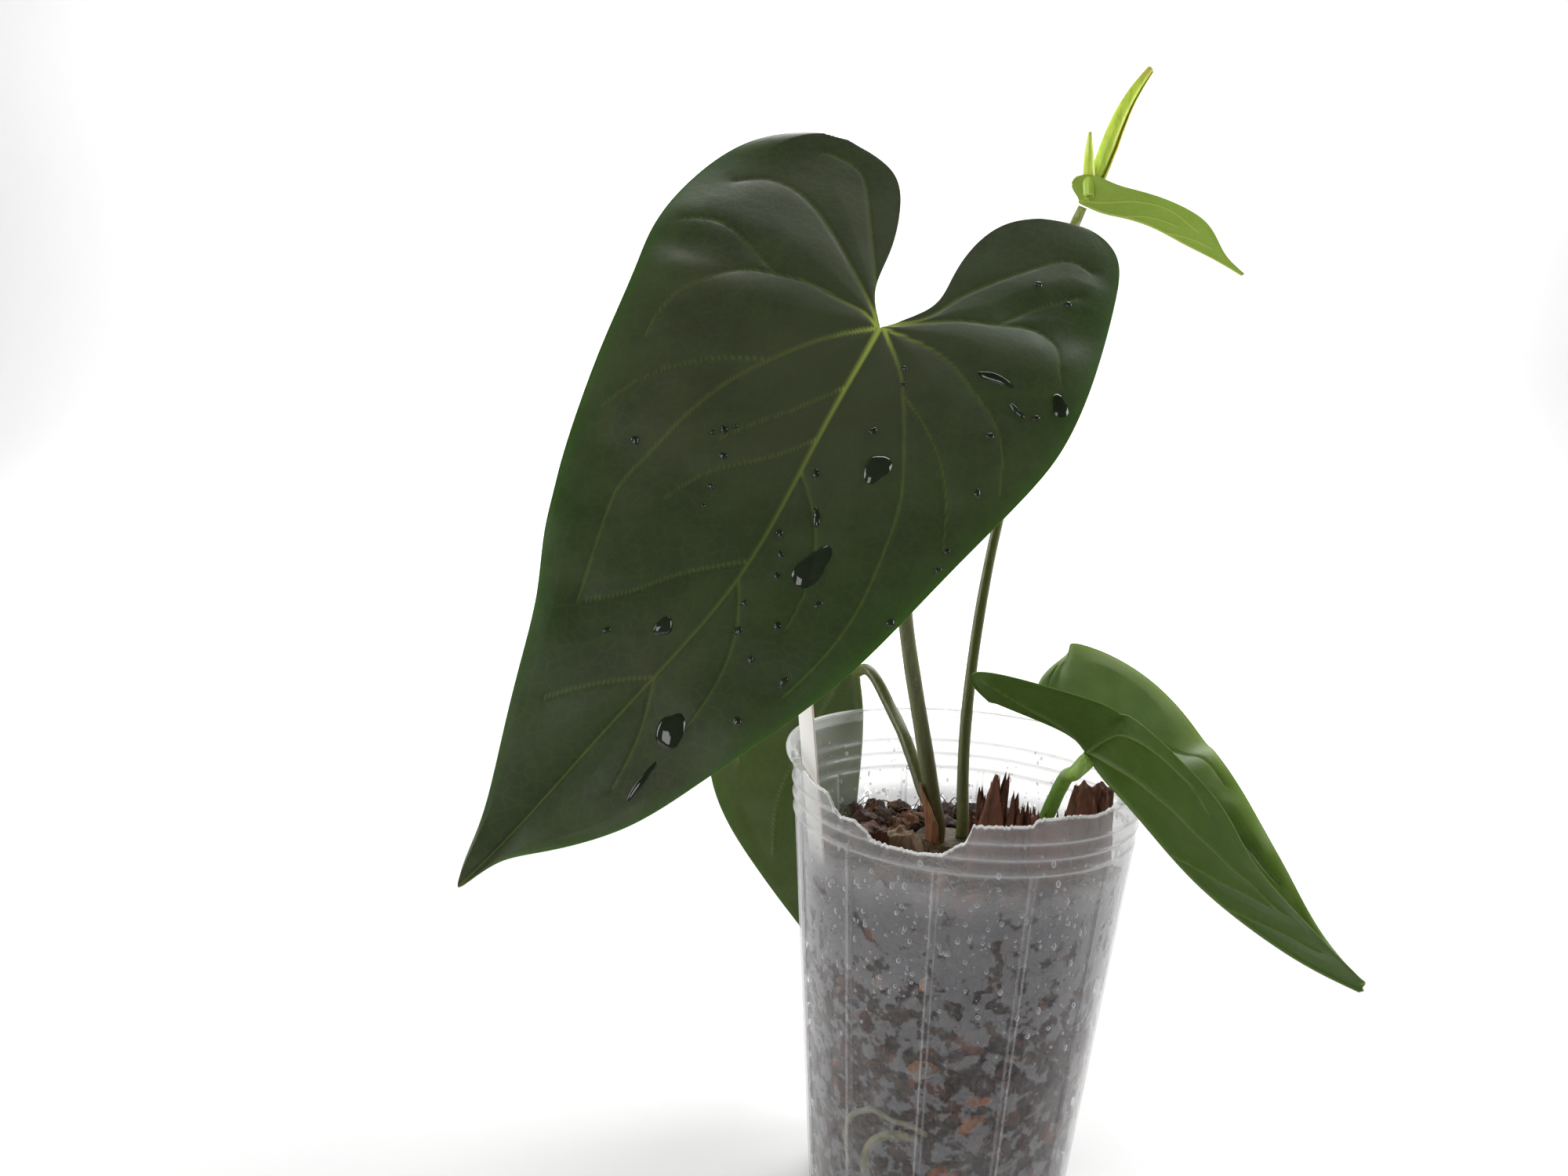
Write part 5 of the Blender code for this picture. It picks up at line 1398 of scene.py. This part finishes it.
def label_material():
    kit = Nodes("label_plastic")
    scuff = kit.noise(240, 4.0, 0.6, kit.place((1, 1, 0.3)))
    dirt = kit.ramp(kit.noise(130, 4.0, 0.65), 0.56, 0.72, 0.0, 0.5)
    colour = kit.mix(dirt, srgb(222, 222, 216), srgb(168, 154, 132))
    height = kit.node("SeparateXYZ", Vector=kit.place()).outputs["Z"]
    wavy = kit.math("ADD", height, kit.math("MULTIPLY", kit.noise(160), 6 * MM))
    soiled = kit.ramp(wavy, MIX_LEVEL + 1 * MM, MIX_LEVEL + 6 * MM, 0.92, 0.0)
    colour = kit.mix(soiled, colour, (0.035, 0.022, 0.016))
    kit.set(Base_Color=colour, Roughness=kit.ramp(scuff, 0.3, 0.7, 0.30, 0.50))
    kit.set(Normal=kit.bump(scuff, 0.06 * MM, 0.4), Subsurface_Weight=0.25, Subsurface_Scale=0.001)
    return kit.material


def build_label():
    """Plain plastic strip with softened edges."""
    source = nodes["plant_label"]
    mesh = source.data.copy()
    piece = bpy.data.objects.new("label_strip", mesh)
    bpy.context.scene.collection.objects.link(piece)
    shape = bmesh.new()
    shape.from_mesh(mesh)
    bmesh.ops.remove_doubles(shape, verts=shape.verts[:], dist=0.00001)
    bmesh.ops.dissolve_limit(shape, angle_limit=0.02, verts=shape.verts[:], edges=shape.edges[:])
    bmesh.ops.bevel(shape, geom=shape.edges[:], offset=0.18 * MM, segments=3, profile=0.5, affect="EDGES")
    shape.to_mesh(mesh)
    shape.free()
    mesh.shade_smooth()
    belong(piece, ("plant_label",))
    give(piece, label_material())


build_label()

# ---------------------------------------------------------------- room, light and camera

def matte(name, colour):
    kit = Nodes(name)
    kit.set(Base_Color=(*colour, 1.0), Roughness=0.9, Specular_IOR_Level=0.1)
    return kit.material


def build_sweep():
    """Plain pale floor that curves up into the wall behind."""
    profile = [(-1.6, 0.0), (1.1, 0.0)]
    for angle in range(0, 91, 6):
        turn = math.radians(angle)
        profile.append((1.1 + 0.7 * math.sin(turn), 0.7 - 0.7 * math.cos(turn)))
    profile.append((1.8, 3.2))
    mesh = bpy.data.meshes.new("floor")
    points = []
    for y, z in profile:
        points.extend([(-3.0, y, z), (3.0, y, z)])
    faces = [(2 * i, 2 * i + 1, 2 * i + 3, 2 * i + 2) for i in range(len(profile) - 1)]
    mesh.from_pydata(points, [], faces)
    mesh.shade_smooth()
    floor = bpy.data.objects.new("floor", mesh)
    bpy.context.scene.collection.objects.link(floor)
    give(floor, matte("paper_white", (0.90, 0.90, 0.90)))


def soft_light(name, location, target, size, power):
    data = bpy.data.lights.new(name, "AREA")
    data.shape = "RECTANGLE"
    data.size, data.size_y = size
    data.energy = power
    light = bpy.data.objects.new(name, data)
    bpy.context.scene.collection.objects.link(light)
    light.location = location
    light.rotation_euler = (Vector(target) - Vector(location)).to_track_quat("-Z", "Y").to_euler()


build_sweep()
soft_light("rear_top", (0.2, 1.0, 1.2), (0, 0, 0.2), (1.2, 0.8), 16)
soft_light("right_side", (1.3, 0.1, 0.7), (0, 0, 0.2), (0.8, 0.8), 13)
soft_light("left_side", (-1.3, 0.3, 0.6), (0, 0, 0.2), (0.8, 0.8), 10)
soft_light("front_fill", (-0.75, -1.15, 0.85), (0, 0, 0.2), (0.8, 0.8), 10)
soft_light("backdrop", (0.0, 0.3, 0.9), (0, 1.8, 1.0), (2.4, 0.6), 34)


HORIZON_LIGHT = 0.85
CEILING_LIGHT = 0.20


def soft_room():
    """Even light from all round, darker towards the ceiling."""
    world = bpy.data.worlds.new("soft_room")
    world.use_nodes = True
    tree = world.node_tree
    coordinates = tree.nodes.new("ShaderNodeTexCoord")
    split = tree.nodes.new("ShaderNodeSeparateXYZ")
    fade = tree.nodes.new("ShaderNodeMapRange")
    fade.inputs["From Min"].default_value = 0.1
    fade.inputs["From Max"].default_value = 0.8
    fade.inputs["To Min"].default_value = HORIZON_LIGHT
    fade.inputs["To Max"].default_value = CEILING_LIGHT
    tree.links.new(coordinates.outputs["Generated"], split.inputs["Vector"])
    tree.links.new(split.outputs["Z"], fade.inputs["Value"])
    tree.links.new(fade.outputs["Result"], tree.nodes["Background"].inputs["Strength"])
    return world


bpy.context.scene.world = soft_room()
bpy.context.scene.view_settings.view_transform = "Standard"

CAMERA_AT = (-55.7 * MM, -360 * MM, POT_HEIGHT + 97.2 * MM)
CAMERA_PITCH = math.radians(8.35)
CAMERA_ROLL = math.radians(3.31)
LENS_LENGTH = 29.25
SENSOR_WIDTH = 36
forward = Vector((0, math.cos(CAMERA_PITCH), -math.sin(CAMERA_PITCH)))
right = Vector((1, 0, 0))
upward = Vector((0, math.sin(CAMERA_PITCH), math.cos(CAMERA_PITCH)))
turned_right = right * math.cos(CAMERA_ROLL) + upward * math.sin(CAMERA_ROLL)
turned_up = upward * math.cos(CAMERA_ROLL) - right * math.sin(CAMERA_ROLL)
lens = bpy.data.cameras.new("camera")
lens.lens = LENS_LENGTH
lens.sensor_width = SENSOR_WIDTH
lens.clip_start = 0.01
camera = bpy.data.objects.new("camera", lens)
bpy.context.scene.collection.objects.link(camera)
orientation = Matrix((turned_right, turned_up, -forward)).transposed().to_4x4()
camera.matrix_world = Matrix.Translation(CAMERA_AT) @ orientation
bpy.context.scene.camera = camera
